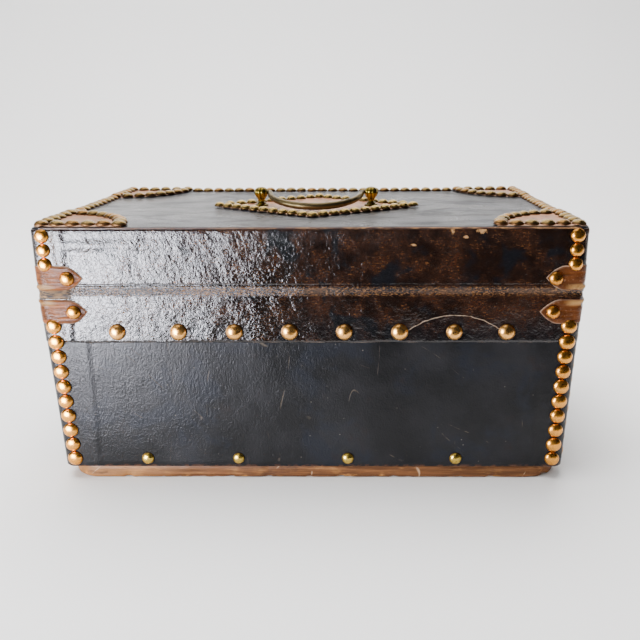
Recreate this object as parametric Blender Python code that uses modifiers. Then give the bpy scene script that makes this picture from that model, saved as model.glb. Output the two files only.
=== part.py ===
"""A leather covered document box with a leather hinge, rows of dome headed nails and a brass bail.

Lengths are in metres, +Z is up, +X runs along the length of the box and the hinge is on the -Y side.
The origin is the middle of the part's own box on the surface that it stands on.
"""

import math

import bmesh
import bpy
from mathutils import Matrix, Vector

PART_NAME = "leather_document_box"

# Overall sizes
WIDTH = 0.334  # over the leather of the lid
DEPTH = 0.202  # over the leather, hinge side to lock side
SEAM_HEIGHT = 0.1242  # floor to the joint between body and lid
LID_HEIGHT = 0.0403  # joint to the top of the lid's leather
END_LEAN = 0.0047  # each end of the body leans in by this much, joint to foot
CORNER_RADIUS = 0.006
CORNER_SEGMENTS = 3

# Clearances
GAP = 0.0003  # between two pieces that touch
OVERRUN = 0.003  # how far a cutter runs past what it cuts
LOCK_PLAY = 0.00035  # around the bolt
PIN_PLAY = 0.0001  # around the pins of the bail in their sockets

# Wood and leather
BOARD = 0.010
LID_BOARD = 0.008
BASE_BOARD = 0.008
BASE_END_INSET = 0.002
BASE_SIDE_INSET = 0.0005
BASE_CORNER_RADIUS = 0.020
BASE_CORNER_SEGMENTS = 6
LEATHER = 0.0013
TOP_EDGE_RADIUS = 0.002
TOP_EDGE_SEGMENTS = 2
RIM_ANGLE = 60  # degrees: sharper edges than this are rims, not the facets of a round corner
SHADING_ANGLE = 50  # degrees: edges up to this are shaded as one round surface
BOARD_EDGE = 0.0009  # worn edge of the lid's board under its leather
TOP_LIP = 0.0022  # how far the lid's top leather turns down above the hinge leather
HINGE_LEATHER_INSET = 0.008  # lid's end face to the end of the hinge leather
HINGE_LEATHER_DROP = 0.0313  # joint to the lower edge of the hinge leather

# Rows of small dome headed nails
NAIL_RADIUS = 0.0052
NAIL_HEIGHT = 0.003
NAIL_SIDES = 8
DOME_RINGS = 4  # rings of the whole sphere that a dome is half of
TOP_PITCH = 0.0096
TOP_INSET = 0.006  # from the lid's faces to the middle of its edge nails
COLUMN_INSET = 0.008  # end face to the corner nails of the hinge and lock sides
END_COLUMN_INSET = 0.0145  # hinge or lock side to the corner nails of the end faces
LID_COLUMN_DROP = 0.0052  # lid's top to its first corner nail
LID_COLUMN_RUN = 0.0172
LID_COLUMN_PITCH = 0.009
BODY_COLUMN_DROP = 0.0208  # joint to the body's first corner nail
BODY_COLUMN_RISE = 0.006  # foot of the leather to its last corner nail
BODY_COLUMN_PITCH = 0.0101

# Large nails of the leather hinge
HINGE_NAIL_RADIUS = 0.0054
HINGE_NAIL_HEIGHT = 0.0038
HINGE_NAIL_RISE = 0.0070  # lower edge of the hinge leather to the row
HINGE_NAIL_RING_SHARES = ((0.62, 0.80), (1.0, 0.0))  # of the radius and of the height
HINGE_NAIL_PLACE_SHARES = (-0.75, -0.512, -0.295, -0.081, 0.131, 0.345, 0.556, 0.758)
SHANK_RADIUS = 0.0011
SHANK_LENGTH = 0.009

# Patches on the lid
PATCH = 0.0008
PATCH_EDGE_INSET = 0.0015
ARC_RADIUS = 0.053  # box corner to the middle of the nails round a corner patch
ARC_MARGIN = 0.002  # how far a patch shows past the middle of its nails
ARC_STEPS = 8
LOZENGE_REACH = 0.069  # middle to the nails at its left and right points
LOZENGE_RISE = 0.051  # middle to the nails at its near and far points

# Tabs round the corners
TAB = 0.0016
TAB_HEIGHT = 0.0153
TAB_REACH = 0.027  # from the next face to the tip
TAB_SHOULDER = 0.0165
TAB_OGIVE_SHARES = (0.6, 0.72)  # of the way from shoulder to tip, and of the half height there
LID_TAB_LIFT = 0.0020
BODY_TAB_DROP = 0.0036

# Bail handle and its two posts
HANDLE_SHIFT = 0.008  # middle of the lid to the handle and its diamond, towards the hinge
POST_SPACING = 0.0776
KNOB_RADIUS = 0.0050
KNOB_HEIGHT = 0.0076
KNOB_RINGS = 6
NECK_RADIUS = 0.0024
NECK_HEIGHT = 0.0030
FOOT_RADIUS = 0.0045
FOOT_HEIGHT = 0.0010
FOOT_RISE = 0.0012
POST_SHANK_RADIUS = 0.0016
POST_SHANK_LENGTH = 0.0078
POST_STEPS = 12
BAIL_REACH = 0.0287
BAIL_HALF_WIDTH = 0.0322
BAIL_RADIUS = 0.0024
BAIL_END_RADIUS = 0.0015
PIN_RADIUS = 0.00125
PIN_DEPTH = 0.0026
SOCKET_SIDES = 16
ELBOW = 0.0012
BAIL_STEPS = 12

# Lock on the +Y side
CASE_WIDTH = 0.064
CASE_HEIGHT = 0.040
CASE_THICKNESS = 0.011
POCKET_WIDTH = 0.014
POCKET_DEPTH = 0.019
POCKET_FLOOR = 0.003  # wall of the case behind the pocket
BOLT_LENGTH = 0.0215
BOLT_HEIGHT = 0.0053
BOLT_THICKNESS = 0.0039
BOLT_DROP = 0.0054  # joint to the top of the bolt
BOLT_SETBACK = 0.0005  # pocket wall to the nose of the withdrawn bolt
BOLT_TRAVEL = 0.017
KEEP_DEPTH = 0.004  # how far the bolt's hole goes on beyond the pocket
LINK_WIDTH = 0.040
LINK_HEIGHT = 0.018
LINK_THICKNESS = 0.0026
LINK_LIFT = 0.0015
TONGUE_WIDTH = 0.012
TONGUE_THICKNESS = 0.0017
TONGUE_DROP = 0.0140
HOOK_HEIGHT = 0.0022
HOOK_DEPTH = 0.0046
KEYHOLE_DROP = 0.026
KEYHOLE_RADIUS = 0.0019
KEYHOLE_SLOT_WIDTH = 0.0022
KEYHOLE_SLOT_LENGTH = 0.0060
KEYHOLE_STEPS = 10
KEY_DEPTH = 0.007
PLATE = 0.0010
PLATE_HALF_WIDTH = 0.010
PLATE_HALF_HEIGHT = 0.015
PLATE_STEPS = 20

# Places worked out from the sizes above
HALF_WIDTH = WIDTH / 2
HINGE_LEATHER_REACH = HALF_WIDTH - HINGE_LEATHER_INSET
LID_TOP = SEAM_HEIGHT + LID_HEIGHT
MIDDLE_Y = (HINGE_NAIL_HEIGHT - NAIL_HEIGHT) / 2  # puts the nail heads' own box on the origin
HANDLE_Y = MIDDLE_Y - HANDLE_SHIFT
BACK = MIDDLE_Y - DEPTH / 2
FRONT = MIDDLE_Y + DEPTH / 2
COVER = LEATHER + GAP  # leather and the clearance behind it
SEAM_LOW = SEAM_HEIGHT - GAP / 2
SEAM_HIGH = SEAM_HEIGHT + GAP / 2
FOOT = BASE_BOARD  # lower edge of the leather
PATCH_TOP = LID_TOP + GAP + PATCH
NAIL_SEAT = PATCH_TOP + GAP
INNER_FRONT = FRONT - COVER - BOARD
LEAN_ANGLE = math.atan2(END_LEAN, SEAM_HEIGHT - FOOT)
PIVOT_Z = NAIL_SEAT + FOOT_HEIGHT + FOOT_RISE + NECK_HEIGHT + KNOB_HEIGHT / 2
REST_TILT = math.asin((PIVOT_Z - PATCH_TOP - GAP - BAIL_RADIUS) / BAIL_REACH)
LID_NAMES = ("lid_", "hinge_leather_lid", "corner_patch", "lozenge", "handle_post", "bail", "link_plate")
CORNERS = {"back_left": (-1, -1), "back_right": (1, -1), "front_left": (-1, 1), "front_right": (1, 1)}


def clear_scene():
    for obj in list(bpy.data.objects):
        bpy.data.objects.remove(obj)


def new_collection(name):
    collection = bpy.data.collections.new(name)
    bpy.context.scene.collection.children.link(collection)
    return collection


def new_finish(name, colour, roughness, metallic=0.0):
    material = bpy.data.materials.new(name)
    material.use_nodes = True
    shader = material.node_tree.nodes["Principled BSDF"]
    shader.inputs["Base Color"].default_value = (*colour, 1.0)
    shader.inputs["Roughness"].default_value = roughness
    shader.inputs["Metallic"].default_value = metallic
    return material


clear_scene()
PARTS = new_collection(PART_NAME)
CUTTERS = new_collection("cutters")
BLACK_LEATHER = new_finish("black_leather", (0.018, 0.018, 0.021), 0.45)
HINGE_LEATHER = new_finish("hinge_leather", (0.040, 0.022, 0.014), 0.25)
TAN_LEATHER = new_finish("tan_leather", (0.33, 0.12, 0.05), 0.45)
PALE_WOOD = new_finish("pale_wood", (0.45, 0.30, 0.17), 0.7)
BASE_WOOD = new_finish("base_wood", (0.25, 0.09, 0.04), 0.5)
NAIL_BRASS = new_finish("nail_brass", (0.75, 0.48, 0.20), 0.22, 1.0)
POST_BRASS = new_finish("post_brass", (0.60, 0.45, 0.12), 0.2, 1.0)
BAIL_BRASS = new_finish("bail_brass", (0.30, 0.24, 0.13), 0.4, 1.0)
LOCK_BRASS = new_finish("lock_brass", (0.50, 0.38, 0.17), 0.4, 1.0)


def add_piece(name, data, finish):
    """A named object of the part, with its own finish."""
    obj = bpy.data.objects.new(name, data)
    PARTS.objects.link(obj)
    if not data.materials:
        data.materials.append(finish)
    if obj.type == "MESH":
        data.shade_smooth()
        data.set_sharp_from_angle(angle=math.radians(SHADING_ANGLE))
    return obj


def add_cutter(name, data):
    """A helper that a Boolean uses and that isn't part of the box."""
    obj = bpy.data.objects.new(name, data)
    CUTTERS.objects.link(obj)
    obj.hide_render = True
    obj.display_type = "WIRE"
    return obj


def mesh_of(bm, name):
    mesh = bpy.data.meshes.new(name)
    bm.to_mesh(mesh)
    bm.free()
    return mesh


def block_mesh(name, low, high):
    """A box between two corners, as a cube primitive stretched to them."""
    low = Vector(low)
    high = Vector(high)
    bm = bmesh.new()
    stretch = Matrix.Translation((low + high) / 2) @ Matrix.Diagonal((*(high - low), 1))
    bmesh.ops.create_cube(bm, size=1, matrix=stretch)
    return mesh_of(bm, name)


def cylinder_mesh(name, radius, length, sides, place):
    """A cylinder whose axis is place's Z axis and whose middle is at place."""
    bm = bmesh.new()
    bmesh.ops.create_cone(
        bm, cap_ends=True, segments=sides, radius1=radius, radius2=radius, depth=length, matrix=place
    )
    return mesh_of(bm, name)


def joined_mesh(name, meshes):
    """Several meshes put into one, as separate bodies."""
    bm = bmesh.new()
    for mesh in meshes:
        bm.from_mesh(mesh)
    return mesh_of(bm, name)


def evaluated_mesh(obj):
    """The mesh that an object's modifiers or curve settings make."""
    bpy.context.view_layer.update()
    graph = bpy.context.evaluated_depsgraph_get()
    return bpy.data.meshes.new_from_object(obj.evaluated_get(graph))


def combine(obj, other, operation):
    boolean = obj.modifiers.new(operation.title(), "BOOLEAN")
    boolean.operation = operation
    boolean.object = other
    boolean.solver = "EXACT"
    return boolean


def cut(obj, name, mesh):
    combine(obj, add_cutter(name, mesh), "DIFFERENCE")


def upright(start, end):
    return abs(start.z - end.z) > GAP


def round_edges(obj, radius, segments, chosen):
    """Bevels each edge whose two ends pass the test."""
    mesh = obj.data
    weights = mesh.attributes.new("bevel_weight_edge", "FLOAT", "EDGE")
    for edge in mesh.edges:
        ends = [mesh.vertices[i].co for i in edge.vertices]
        weights.data[edge.index].value = float(chosen(*ends))
    bevel = obj.modifiers.new("Rounded edges", "BEVEL")
    bevel.width = radius
    bevel.segments = segments
    bevel.limit_method = "WEIGHT"


def round_rim(obj, radius, segments):
    """Bevels the sharp edges that are left round a top."""
    bevel = obj.modifiers.new("Rim", "BEVEL")
    bevel.width = radius
    bevel.segments = segments
    bevel.limit_method = "ANGLE"
    bevel.angle_limit = math.radians(RIM_ANGLE)


def end_inset(z):
    """How far an end of the body has leaned in at height z."""
    return END_LEAN * max(0, SEAM_HEIGHT - z) / (SEAM_HEIGHT - FOOT)


def lean_ends(mesh):
    """Moves the points of a straight walled mesh in with the leaning ends of the body."""
    for vertex in mesh.vertices:
        vertex.co.x -= math.copysign(end_inset(vertex.co.z), vertex.co.x)


def wall_boards(prefix, low, high):
    """Four boards of a carcass: the end boards run the full depth, the others fit between them."""
    outer_x = HALF_WIDTH - COVER
    inner_x = outer_x - BOARD
    outer_y = DEPTH / 2 - COVER
    corner = CORNER_RADIUS - COVER
    for side, sign in (("left", -1), ("right", 1)):
        near, far = sorted((sign * inner_x, sign * outer_x))
        name = f"{prefix}{side}"
        mesh = block_mesh(name, (near, MIDDLE_Y - outer_y, low), (far, MIDDLE_Y + outer_y, high))
        lean_ends(mesh)
        board = add_piece(name, mesh, PALE_WOOD)
        outer = outer_x - GAP
        round_edges(
            board, corner, CORNER_SEGMENTS, lambda a, b: upright(a, b) and abs(a.x) > outer - end_inset(a.z)
        )
    for side, sign in (("back", -1), ("front", 1)):
        near, far = sorted((sign * (outer_y - BOARD), sign * outer_y))
        reach = inner_x - GAP
        name = f"{prefix}{side}"
        mesh = block_mesh(name, (-reach, MIDDLE_Y + near, low), (reach, MIDDLE_Y + far, high))
        lean_ends(mesh)
        add_piece(name, mesh, PALE_WOOD)


def leather_shell(name, low, high, has_top):
    """Leather round the four walls, and over the top of the lid, as an open surface made solid."""
    mesh = block_mesh(name, (-HALF_WIDTH, BACK, low), (HALF_WIDTH, FRONT, high))
    lean_ends(mesh)
    bm = bmesh.new()
    bm.from_mesh(mesh)
    open_faces = [f for f in bm.faces if abs(f.normal.z) > abs(f.normal.x) + abs(f.normal.y)]
    if has_top:
        open_faces = [f for f in open_faces if f.normal.z < 0]
    bmesh.ops.delete(bm, geom=open_faces, context="FACES")
    bm.to_mesh(mesh)
    bm.free()
    shell = add_piece(name, mesh, BLACK_LEATHER)
    round_edges(shell, CORNER_RADIUS, CORNER_SEGMENTS, upright)
    if has_top:
        round_rim(shell, TOP_EDGE_RADIUS, TOP_EDGE_SEGMENTS)
    solid = shell.modifiers.new("Thickness", "SOLIDIFY")
    solid.thickness = LEATHER
    solid.offset = -1
    solid.use_even_offset = True
    return shell


def flat_plate(name, outlines, thickness, middle, finish):
    """A flat plate lying on XY: the first outline is its edge and the others are holes in it."""
    curve = bpy.data.curves.new(name, "CURVE")
    curve.dimensions = "2D"
    curve.fill_mode = "BOTH"
    curve.extrude = thickness / 2
    for outline in outlines:
        spline = curve.splines.new("POLY")
        spline.points.add(len(outline) - 1)
        for point, (x, y) in zip(spline.points, outline):
            point.co = (x, y, 0, 1)
        spline.use_cyclic_u = True
    plate = add_piece(name, curve, finish)
    plate.location = middle
    return plate


def arc(middle, radius, start, end, steps):
    """Points along an arc, from one angle in radians to another."""
    turns = [start + (end - start) * i / steps for i in range(steps + 1)]
    return [(middle[0] + radius * math.cos(t), middle[1] + radius * math.sin(t)) for t in turns]


def nail_run(start, end, pitch):
    """Evenly spaced places from start to end, both included, never further apart than pitch."""
    start = Vector(start)
    end = Vector(end)
    count = max(1, math.ceil((end - start).length / pitch))
    step = (end - start) / count
    return [(start + step * i, math.atan2(step.y, step.x)) for i in range(count + 1)]


def add_dome(bm, place, turn, base, height):
    """One nail head: half a sphere flattened to its height, with a point of its rim along turn."""
    shape = Matrix.Translation((place.x, place.y, base)) @ Matrix.Rotation(turn, 4, "Z")
    shape = shape @ Matrix.Diagonal((NAIL_RADIUS, NAIL_RADIUS, height, 1))
    made = bmesh.ops.create_uvsphere(
        bm, u_segments=NAIL_SIDES, v_segments=DOME_RINGS, radius=1, matrix=shape
    )
    under = [v for v in made["verts"] if v.co.z < base - height / DOME_RINGS]
    bmesh.ops.delete(bm, geom=under, context="VERTS")


def chain_mesh(name, nails):
    """A row of overlapping nail heads as one solid. Each nail is its place, turn, base and height."""
    helpers = []
    for helper_nails in (nails[:1], nails[1:]):
        bm = bmesh.new()
        for place, turn, base, height in helper_nails:
            add_dome(bm, place, turn, base, height)
        rims = [edge for edge in bm.edges if edge.is_boundary]
        bmesh.ops.holes_fill(bm, edges=rims, sides=NAIL_SIDES)
        helpers.append(add_cutter(f"{name}_heads", mesh_of(bm, name)))
    first, rest = helpers
    union = combine(rest, first, "UNION")
    union.use_self = True
    mesh = evaluated_mesh(rest)
    mesh.name = name
    for helper in helpers:
        bpy.data.objects.remove(helper)
    return mesh


def face_frame(origin, up, out):
    """A placing with local Y along up and local Z along out."""
    side = up.cross(out)
    frame = Matrix((side, up, out)).transposed().to_4x4()
    return Matrix.Translation(origin) @ frame


def add_columns(prefix, mesh, top_z, lean):
    """A copy of one upright row of nails on both faces of all four corners."""
    half = HALF_WIDTH - end_inset(top_z)
    for corner, (sx, sy) in CORNERS.items():
        side, end = corner.split("_")
        up = Vector((sx * math.sin(lean), 0, math.cos(lean)))
        faces = {
            side: (Vector((sx * (half - COLUMN_INSET), MIDDLE_Y + sy * DEPTH / 2, top_z)), Vector((0, sy, 0))),
            end: (
                Vector((sx * half, MIDDLE_Y + sy * (DEPTH / 2 - END_COLUMN_INSET), top_z)),
                Vector((sx * math.cos(lean), 0, -math.sin(lean))),
            ),
        }
        for face, (origin, out) in faces.items():
            column = add_piece(f"{prefix}_nails_{corner}_on_{face}", mesh, NAIL_BRASS)
            column.matrix_world = face_frame(origin + out * GAP, up, out)


def column_mesh(name, run, pitch):
    places = nail_run((0, 0), (0, -run), pitch)
    return chain_mesh(name, [(place, turn, 0, NAIL_HEIGHT) for place, turn in places])


def corner_tab(name, signs, low, nail_z, finish):
    """A pointed strip of leather bent round one corner, notched for the corner nail that meets it."""
    sx, sy = signs
    half_arc = CORNER_RADIUS * math.pi / 4
    shoulder = TAB_SHOULDER - CORNER_RADIUS + half_arc
    tip = TAB_REACH - CORNER_RADIUS + half_arc
    ogive = shoulder + (tip - shoulder) * TAB_OGIVE_SHARES[0]
    round_part = [half_arc * (2 * i / CORNER_SEGMENTS - 1) for i in range(CORNER_SEGMENTS + 1)]
    stations = [(-tip, 0), (-ogive, TAB_OGIVE_SHARES[1]), (-shoulder, 1)]
    stations += [(s, 1) for s in round_part]
    stations += [(shoulder, 1), (ogive, TAB_OGIVE_SHARES[1]), (tip, 0)]
    middle_z = low + TAB_HEIGHT / 2
    reach = CORNER_RADIUS + GAP
    bm = bmesh.new()
    bmesh.ops.create_grid(bm, x_segments=len(stations) - 1, y_segments=1, size=1)
    columns = sorted({round(v.co.x, 5) for v in bm.verts})
    for vertex in bm.verts:
        s, share = stations[columns.index(round(vertex.co.x, 5))]
        z = middle_z + math.copysign(share * TAB_HEIGHT / 2, vertex.co.y)
        turn = math.pi / 4 + max(-half_arc, min(half_arc, s)) / CORNER_RADIUS
        straight = max(0, abs(s) - half_arc)
        x = HALF_WIDTH - end_inset(z) - CORNER_RADIUS + reach * math.cos(turn)
        y = DEPTH / 2 - CORNER_RADIUS + reach * math.sin(turn)
        x -= straight if s > 0 else 0
        y -= straight if s < 0 else 0
        vertex.co = (sx * x, MIDDLE_Y + sy * y, z)
    bmesh.ops.remove_doubles(bm, verts=bm.verts, dist=GAP / 2)
    bmesh.ops.recalc_face_normals(bm, faces=bm.faces)
    outward = Vector((sx, sy, 0))
    if sum(f.normal.dot(outward) * f.calc_area() for f in bm.faces) < 0:
        bmesh.ops.reverse_faces(bm, faces=bm.faces)
    tab = add_piece(name, mesh_of(bm, name), finish)
    solid = tab.modifiers.new("Thickness", "SOLIDIFY")
    solid.thickness = TAB
    solid.offset = 1
    solid.use_even_offset = True
    half = HALF_WIDTH - end_inset(nail_z)
    length = 2 * (TAB + NAIL_HEIGHT + OVERRUN)
    on_side = (sx * (half - COLUMN_INSET), MIDDLE_Y + sy * DEPTH / 2, nail_z)
    on_end = (sx * half, MIDDLE_Y + sy * (DEPTH / 2 - END_COLUMN_INSET), nail_z)
    notch = NAIL_RADIUS + 2 * GAP
    for label, place, axis in (("side", on_side, "X"), ("end", on_end, "Y")):
        frame = Matrix.Translation(place) @ Matrix.Rotation(math.pi / 2, 4, axis)
        cut(tab, f"{name}_notch_{label}", cylinder_mesh(name, notch, length, 2 * NAIL_SIDES, frame))
    return tab


def turned(name, profile, steps, finish, mesh=None):
    """A round piece: a profile at +X, from its top down its outer side, swept round Z."""
    if mesh is None:
        bm = bmesh.new()
        points = [bm.verts.new((radius, 0, z)) for radius, z in profile]
        for upper, lower in zip(points, points[1:]):
            bm.edges.new((upper, lower))
        mesh = mesh_of(bm, name)
    obj = add_piece(name, mesh, finish)
    screw = obj.modifiers.new("Turned", "SCREW")
    screw.steps = steps
    screw.render_steps = steps
    screw.use_merge_vertices = True
    screw.merge_threshold = 0.0001
    return obj


def add_base():
    """The board under the carcass, whose edge shows below the leather."""
    half_x = HALF_WIDTH - END_LEAN - BASE_END_INSET
    half_y = DEPTH / 2 - BASE_SIDE_INSET
    mesh = block_mesh("base_board", (-half_x, MIDDLE_Y - half_y, 0), (half_x, MIDDLE_Y + half_y, BASE_BOARD - GAP))
    base = add_piece("base_board", mesh, BASE_WOOD)
    round_edges(base, BASE_CORNER_RADIUS, BASE_CORNER_SEGMENTS, upright)


def add_hinge_leather():
    """The wide strip across the back. Its two halves meet at the crease, on the hinge's axis."""
    reach = HINGE_LEATHER_REACH
    bottom = SEAM_HEIGHT - HINGE_LEATHER_DROP
    for name, low, high in (
        ("hinge_leather_body", bottom, SEAM_LOW),
        ("hinge_leather_lid", SEAM_HIGH, LID_TOP - TOP_LIP - GAP),
    ):
        mesh = block_mesh(name, (-reach, BACK, low), (reach, BACK + LEATHER, high))
        add_piece(name, mesh, HINGE_LEATHER)


def hinge_window(name, low, high):
    """What the leather shells leave free for the hinge leather."""
    reach = HINGE_LEATHER_REACH + GAP
    return block_mesh(name, (-reach, BACK - OVERRUN, low), (reach, BACK + COVER + OVERRUN, high))


def add_hinge_nails():
    """Eight large nails that hold the hinge leather to the back board, each with its shank."""
    profile = [(0, HINGE_NAIL_HEIGHT)]
    profile += [(r * HINGE_NAIL_RADIUS, h * HINGE_NAIL_HEIGHT) for r, h in HINGE_NAIL_RING_SHARES]
    profile += [(SHANK_RADIUS, 0), (0, -SHANK_LENGTH)]
    z = SEAM_HEIGHT - HINGE_LEATHER_DROP + HINGE_NAIL_RISE
    out = Matrix.Rotation(math.pi / 2, 4, "X")
    mesh = None
    holes = []
    hole_length = 2 * SHANK_LENGTH
    for number, share in enumerate(HINGE_NAIL_PLACE_SHARES, start=1):
        place = Vector((share * HINGE_LEATHER_REACH, BACK - GAP, z))
        nail = turned(f"hinge_nail_{number}", profile, NAIL_SIDES, NAIL_BRASS, mesh)
        nail.matrix_world = Matrix.Translation(place) @ out
        mesh = nail.data
        hole_frame = Matrix.Translation(place) @ out
        holes.append(cylinder_mesh("hole", SHANK_RADIUS + GAP, hole_length, NAIL_SIDES, hole_frame))
    drill = joined_mesh("hinge_nail_holes", holes)
    cut(bpy.data.objects["hinge_leather_body"], "hinge_nail_holes_in_leather", drill)
    cut(bpy.data.objects["body_back"], "hinge_nail_holes_in_board", drill)


def corner_patch(name, signs):
    """A quarter round of tan leather on one corner of the lid, from its edges to its arc."""
    sx, sy = signs
    inset = PATCH_EDGE_INSET
    round_corner = CORNER_RADIUS - inset
    radius = ARC_RADIUS + ARC_MARGIN
    low = math.asin(inset / radius)
    middle = (inset + round_corner, inset + round_corner)
    outline = arc(middle, round_corner, 1.5 * math.pi, math.pi, CORNER_SEGMENTS)
    outline += arc((0, 0), radius, math.pi / 2 - low, low, ARC_STEPS)
    plan = [(sx * (HALF_WIDTH - x), MIDDLE_Y + sy * (DEPTH / 2 - y)) for x, y in outline]
    return flat_plate(name, [plan], PATCH, (0, 0, LID_TOP + GAP + PATCH / 2), TAN_LEATHER)


def edge_nail_places():
    """Key places of the row round the lid: out along the hinge side, round the ends and the front."""
    edge_x = HALF_WIDTH - TOP_INSET
    edge_y = DEPTH / 2 - TOP_INSET
    joint = math.sqrt(ARC_RADIUS**2 - TOP_INSET**2)
    joint_x = HALF_WIDTH - joint
    joint_y = DEPTH / 2 - joint
    right = [(joint_x, -edge_y), (edge_x, -edge_y), (edge_x, -joint_y), (edge_x, joint_y)]
    right += [(edge_x, edge_y), (joint_x, edge_y)]
    left = [(-x, y) for x, y in reversed(right)]
    return right + left


def lid_edge_nail_list():
    """Every nail of the lid's edge and of its four corner arcs."""
    key = [Vector((x, y + MIDDLE_Y)) for x, y in edge_nail_places()]
    bare_runs = {2, 5, 8}
    nails = []
    on_patch = (NAIL_SEAT, NAIL_HEIGHT)
    on_leather = (LID_TOP + GAP, NAIL_HEIGHT + NAIL_SEAT - LID_TOP - GAP)
    for number, (start, end) in enumerate(zip(key, key[1:])):
        seat = on_leather if number in bare_runs else on_patch
        inner = nail_run(start, end, TOP_PITCH)
        nails += [(place, turn, *seat) for place, turn in inner[1:-1]]
        nails.append((end, inner[-1][1], *on_patch))
    nails.append((key[0], 0, *on_patch))
    first_turn = math.asin(TOP_INSET / ARC_RADIUS)
    sweep = math.pi / 2 - 2 * first_turn
    count = math.ceil(ARC_RADIUS * sweep / TOP_PITCH)
    for sx, sy in CORNERS.values():
        for i in range(1, count):
            turn = first_turn + sweep * i / count
            x = sx * (HALF_WIDTH - ARC_RADIUS * math.cos(turn))
            y = MIDDLE_Y + sy * (DEPTH / 2 - ARC_RADIUS * math.sin(turn))
            nails.append((Vector((x, y)), -sx * sy * (math.pi / 2 - turn), *on_patch))
    return nails


def lozenge_corners(reach, rise):
    return [(reach, 0), (0, rise), (-reach, 0), (0, -rise)]


def add_lozenge(post_holes):
    """The diamond of tan leather under the bail, and the nails round it."""
    growth = ARC_MARGIN * math.hypot(LOZENGE_REACH, LOZENGE_RISE)
    reach = LOZENGE_REACH + growth / LOZENGE_RISE
    rise = LOZENGE_RISE + growth / LOZENGE_REACH
    outlines = [lozenge_corners(reach, rise), *post_holes]
    flat_plate("lozenge_patch", outlines, PATCH, (0, HANDLE_Y, LID_TOP + GAP + PATCH / 2), TAN_LEATHER)
    nails = []
    corners = lozenge_corners(LOZENGE_REACH, LOZENGE_RISE)
    for start, end in zip(corners, corners[1:] + corners[:1]):
        run = nail_run(start, end, TOP_PITCH)
        nails += [(place, turn, 0, NAIL_HEIGHT) for place, turn in run[1:]]
    chain = add_piece("lozenge_nails", chain_mesh("lozenge_nails", nails), NAIL_BRASS)
    chain.location = (0, HANDLE_Y, NAIL_SEAT)


def post_profile():
    """The outer side of a post, from the top of its knob down to the end of its shank."""
    knob_middle = FOOT_HEIGHT + FOOT_RISE + NECK_HEIGHT + KNOB_HEIGHT / 2
    knob_turns = [math.pi * i / KNOB_RINGS for i in range(KNOB_RINGS)]
    profile = [
        (KNOB_RADIUS * math.sin(t), knob_middle + KNOB_HEIGHT / 2 * math.cos(t)) for t in knob_turns
    ]
    profile.append((NECK_RADIUS, FOOT_HEIGHT + FOOT_RISE + NECK_HEIGHT))
    profile.append((NECK_RADIUS, FOOT_HEIGHT + FOOT_RISE))
    profile.append((FOOT_RADIUS, FOOT_HEIGHT))
    profile.append((FOOT_RADIUS, 0))
    profile.append((POST_SHANK_RADIUS, 0))
    profile.append((POST_SHANK_RADIUS, -POST_SHANK_LENGTH))
    profile.append((0, -POST_SHANK_LENGTH))
    return profile


def add_posts():
    """Two turned posts with knobs. Their shanks go down into the lid's board."""
    knob_z = PIVOT_Z - NAIL_SEAT
    hole_radius = PIN_RADIUS + PIN_PLAY
    sideways = Matrix.Rotation(math.pi / 2, 4, "Y")
    drills = []
    for side, sign in (("left", -1), ("right", 1)):
        post = turned(f"handle_post_{side}", post_profile(), POST_STEPS, POST_BRASS)
        post.location = (sign * POST_SPACING / 2, HANDLE_Y, NAIL_SEAT)
        hole_end = KNOB_RADIUS - PIN_DEPTH - GAP
        length = KNOB_RADIUS + OVERRUN - hole_end
        x = -sign * (hole_end + length / 2)
        frame = Matrix.Translation((x, 0, knob_z)) @ sideways
        socket = add_cutter(
            f"bail_socket_{side}", cylinder_mesh("bail_socket", hole_radius, length, SOCKET_SIDES, frame)
        )
        socket.location = post.location
        combine(post, socket, "DIFFERENCE")
        shank = Matrix.Translation((sign * POST_SPACING / 2, HANDLE_Y, NAIL_SEAT))
        radius = POST_SHANK_RADIUS + GAP
        drills.append(cylinder_mesh("drill", radius, 2 * (POST_SHANK_LENGTH + GAP), POST_STEPS, shank))
    return joined_mesh("post_drill", drills)


def bail_path():
    """Middle line of the bail, with the rod's radius at each point, from pin to pin."""
    knob_face = POST_SPACING / 2 - KNOB_RADIUS
    half = []
    half.append((knob_face + PIN_DEPTH, 0, PIN_RADIUS))
    half.append((BAIL_HALF_WIDTH + ELBOW, 0, PIN_RADIUS))
    half.append((BAIL_HALF_WIDTH + ELBOW / 4, ELBOW / 2, BAIL_END_RADIUS))
    for i in range(1, BAIL_STEPS):
        turn = math.pi / 2 * i / BAIL_STEPS
        radius = BAIL_END_RADIUS + (BAIL_RADIUS - BAIL_END_RADIUS) * math.sin(turn)
        half.append((BAIL_HALF_WIDTH * math.cos(turn), BAIL_REACH * math.sin(turn), radius))
    left = [(-x, -y, r) for x, y, r in half]
    right = [(x, -y, r) for x, y, r in reversed(half)]
    return left + [(0, -BAIL_REACH, BAIL_RADIUS)] + right


def add_bail():
    """The drop handle, lying towards the hinge. Its origin is on the axis through both knobs."""
    curve = bpy.data.curves.new("bail_handle", "CURVE")
    curve.dimensions = "3D"
    curve.bevel_depth = 1
    curve.bevel_resolution = 2
    curve.use_fill_caps = True
    path = bail_path()
    spline = curve.splines.new("POLY")
    spline.points.add(len(path) - 1)
    for point, (x, y, radius) in zip(spline.points, path):
        point.co = (x, y, 0, 1)
        point.radius = radius
    bail = add_piece("bail_handle", curve, BAIL_BRASS)
    bail.location = (0, HANDLE_Y, PIVOT_Z)
    bail.rotation_euler.x = REST_TILT


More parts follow.
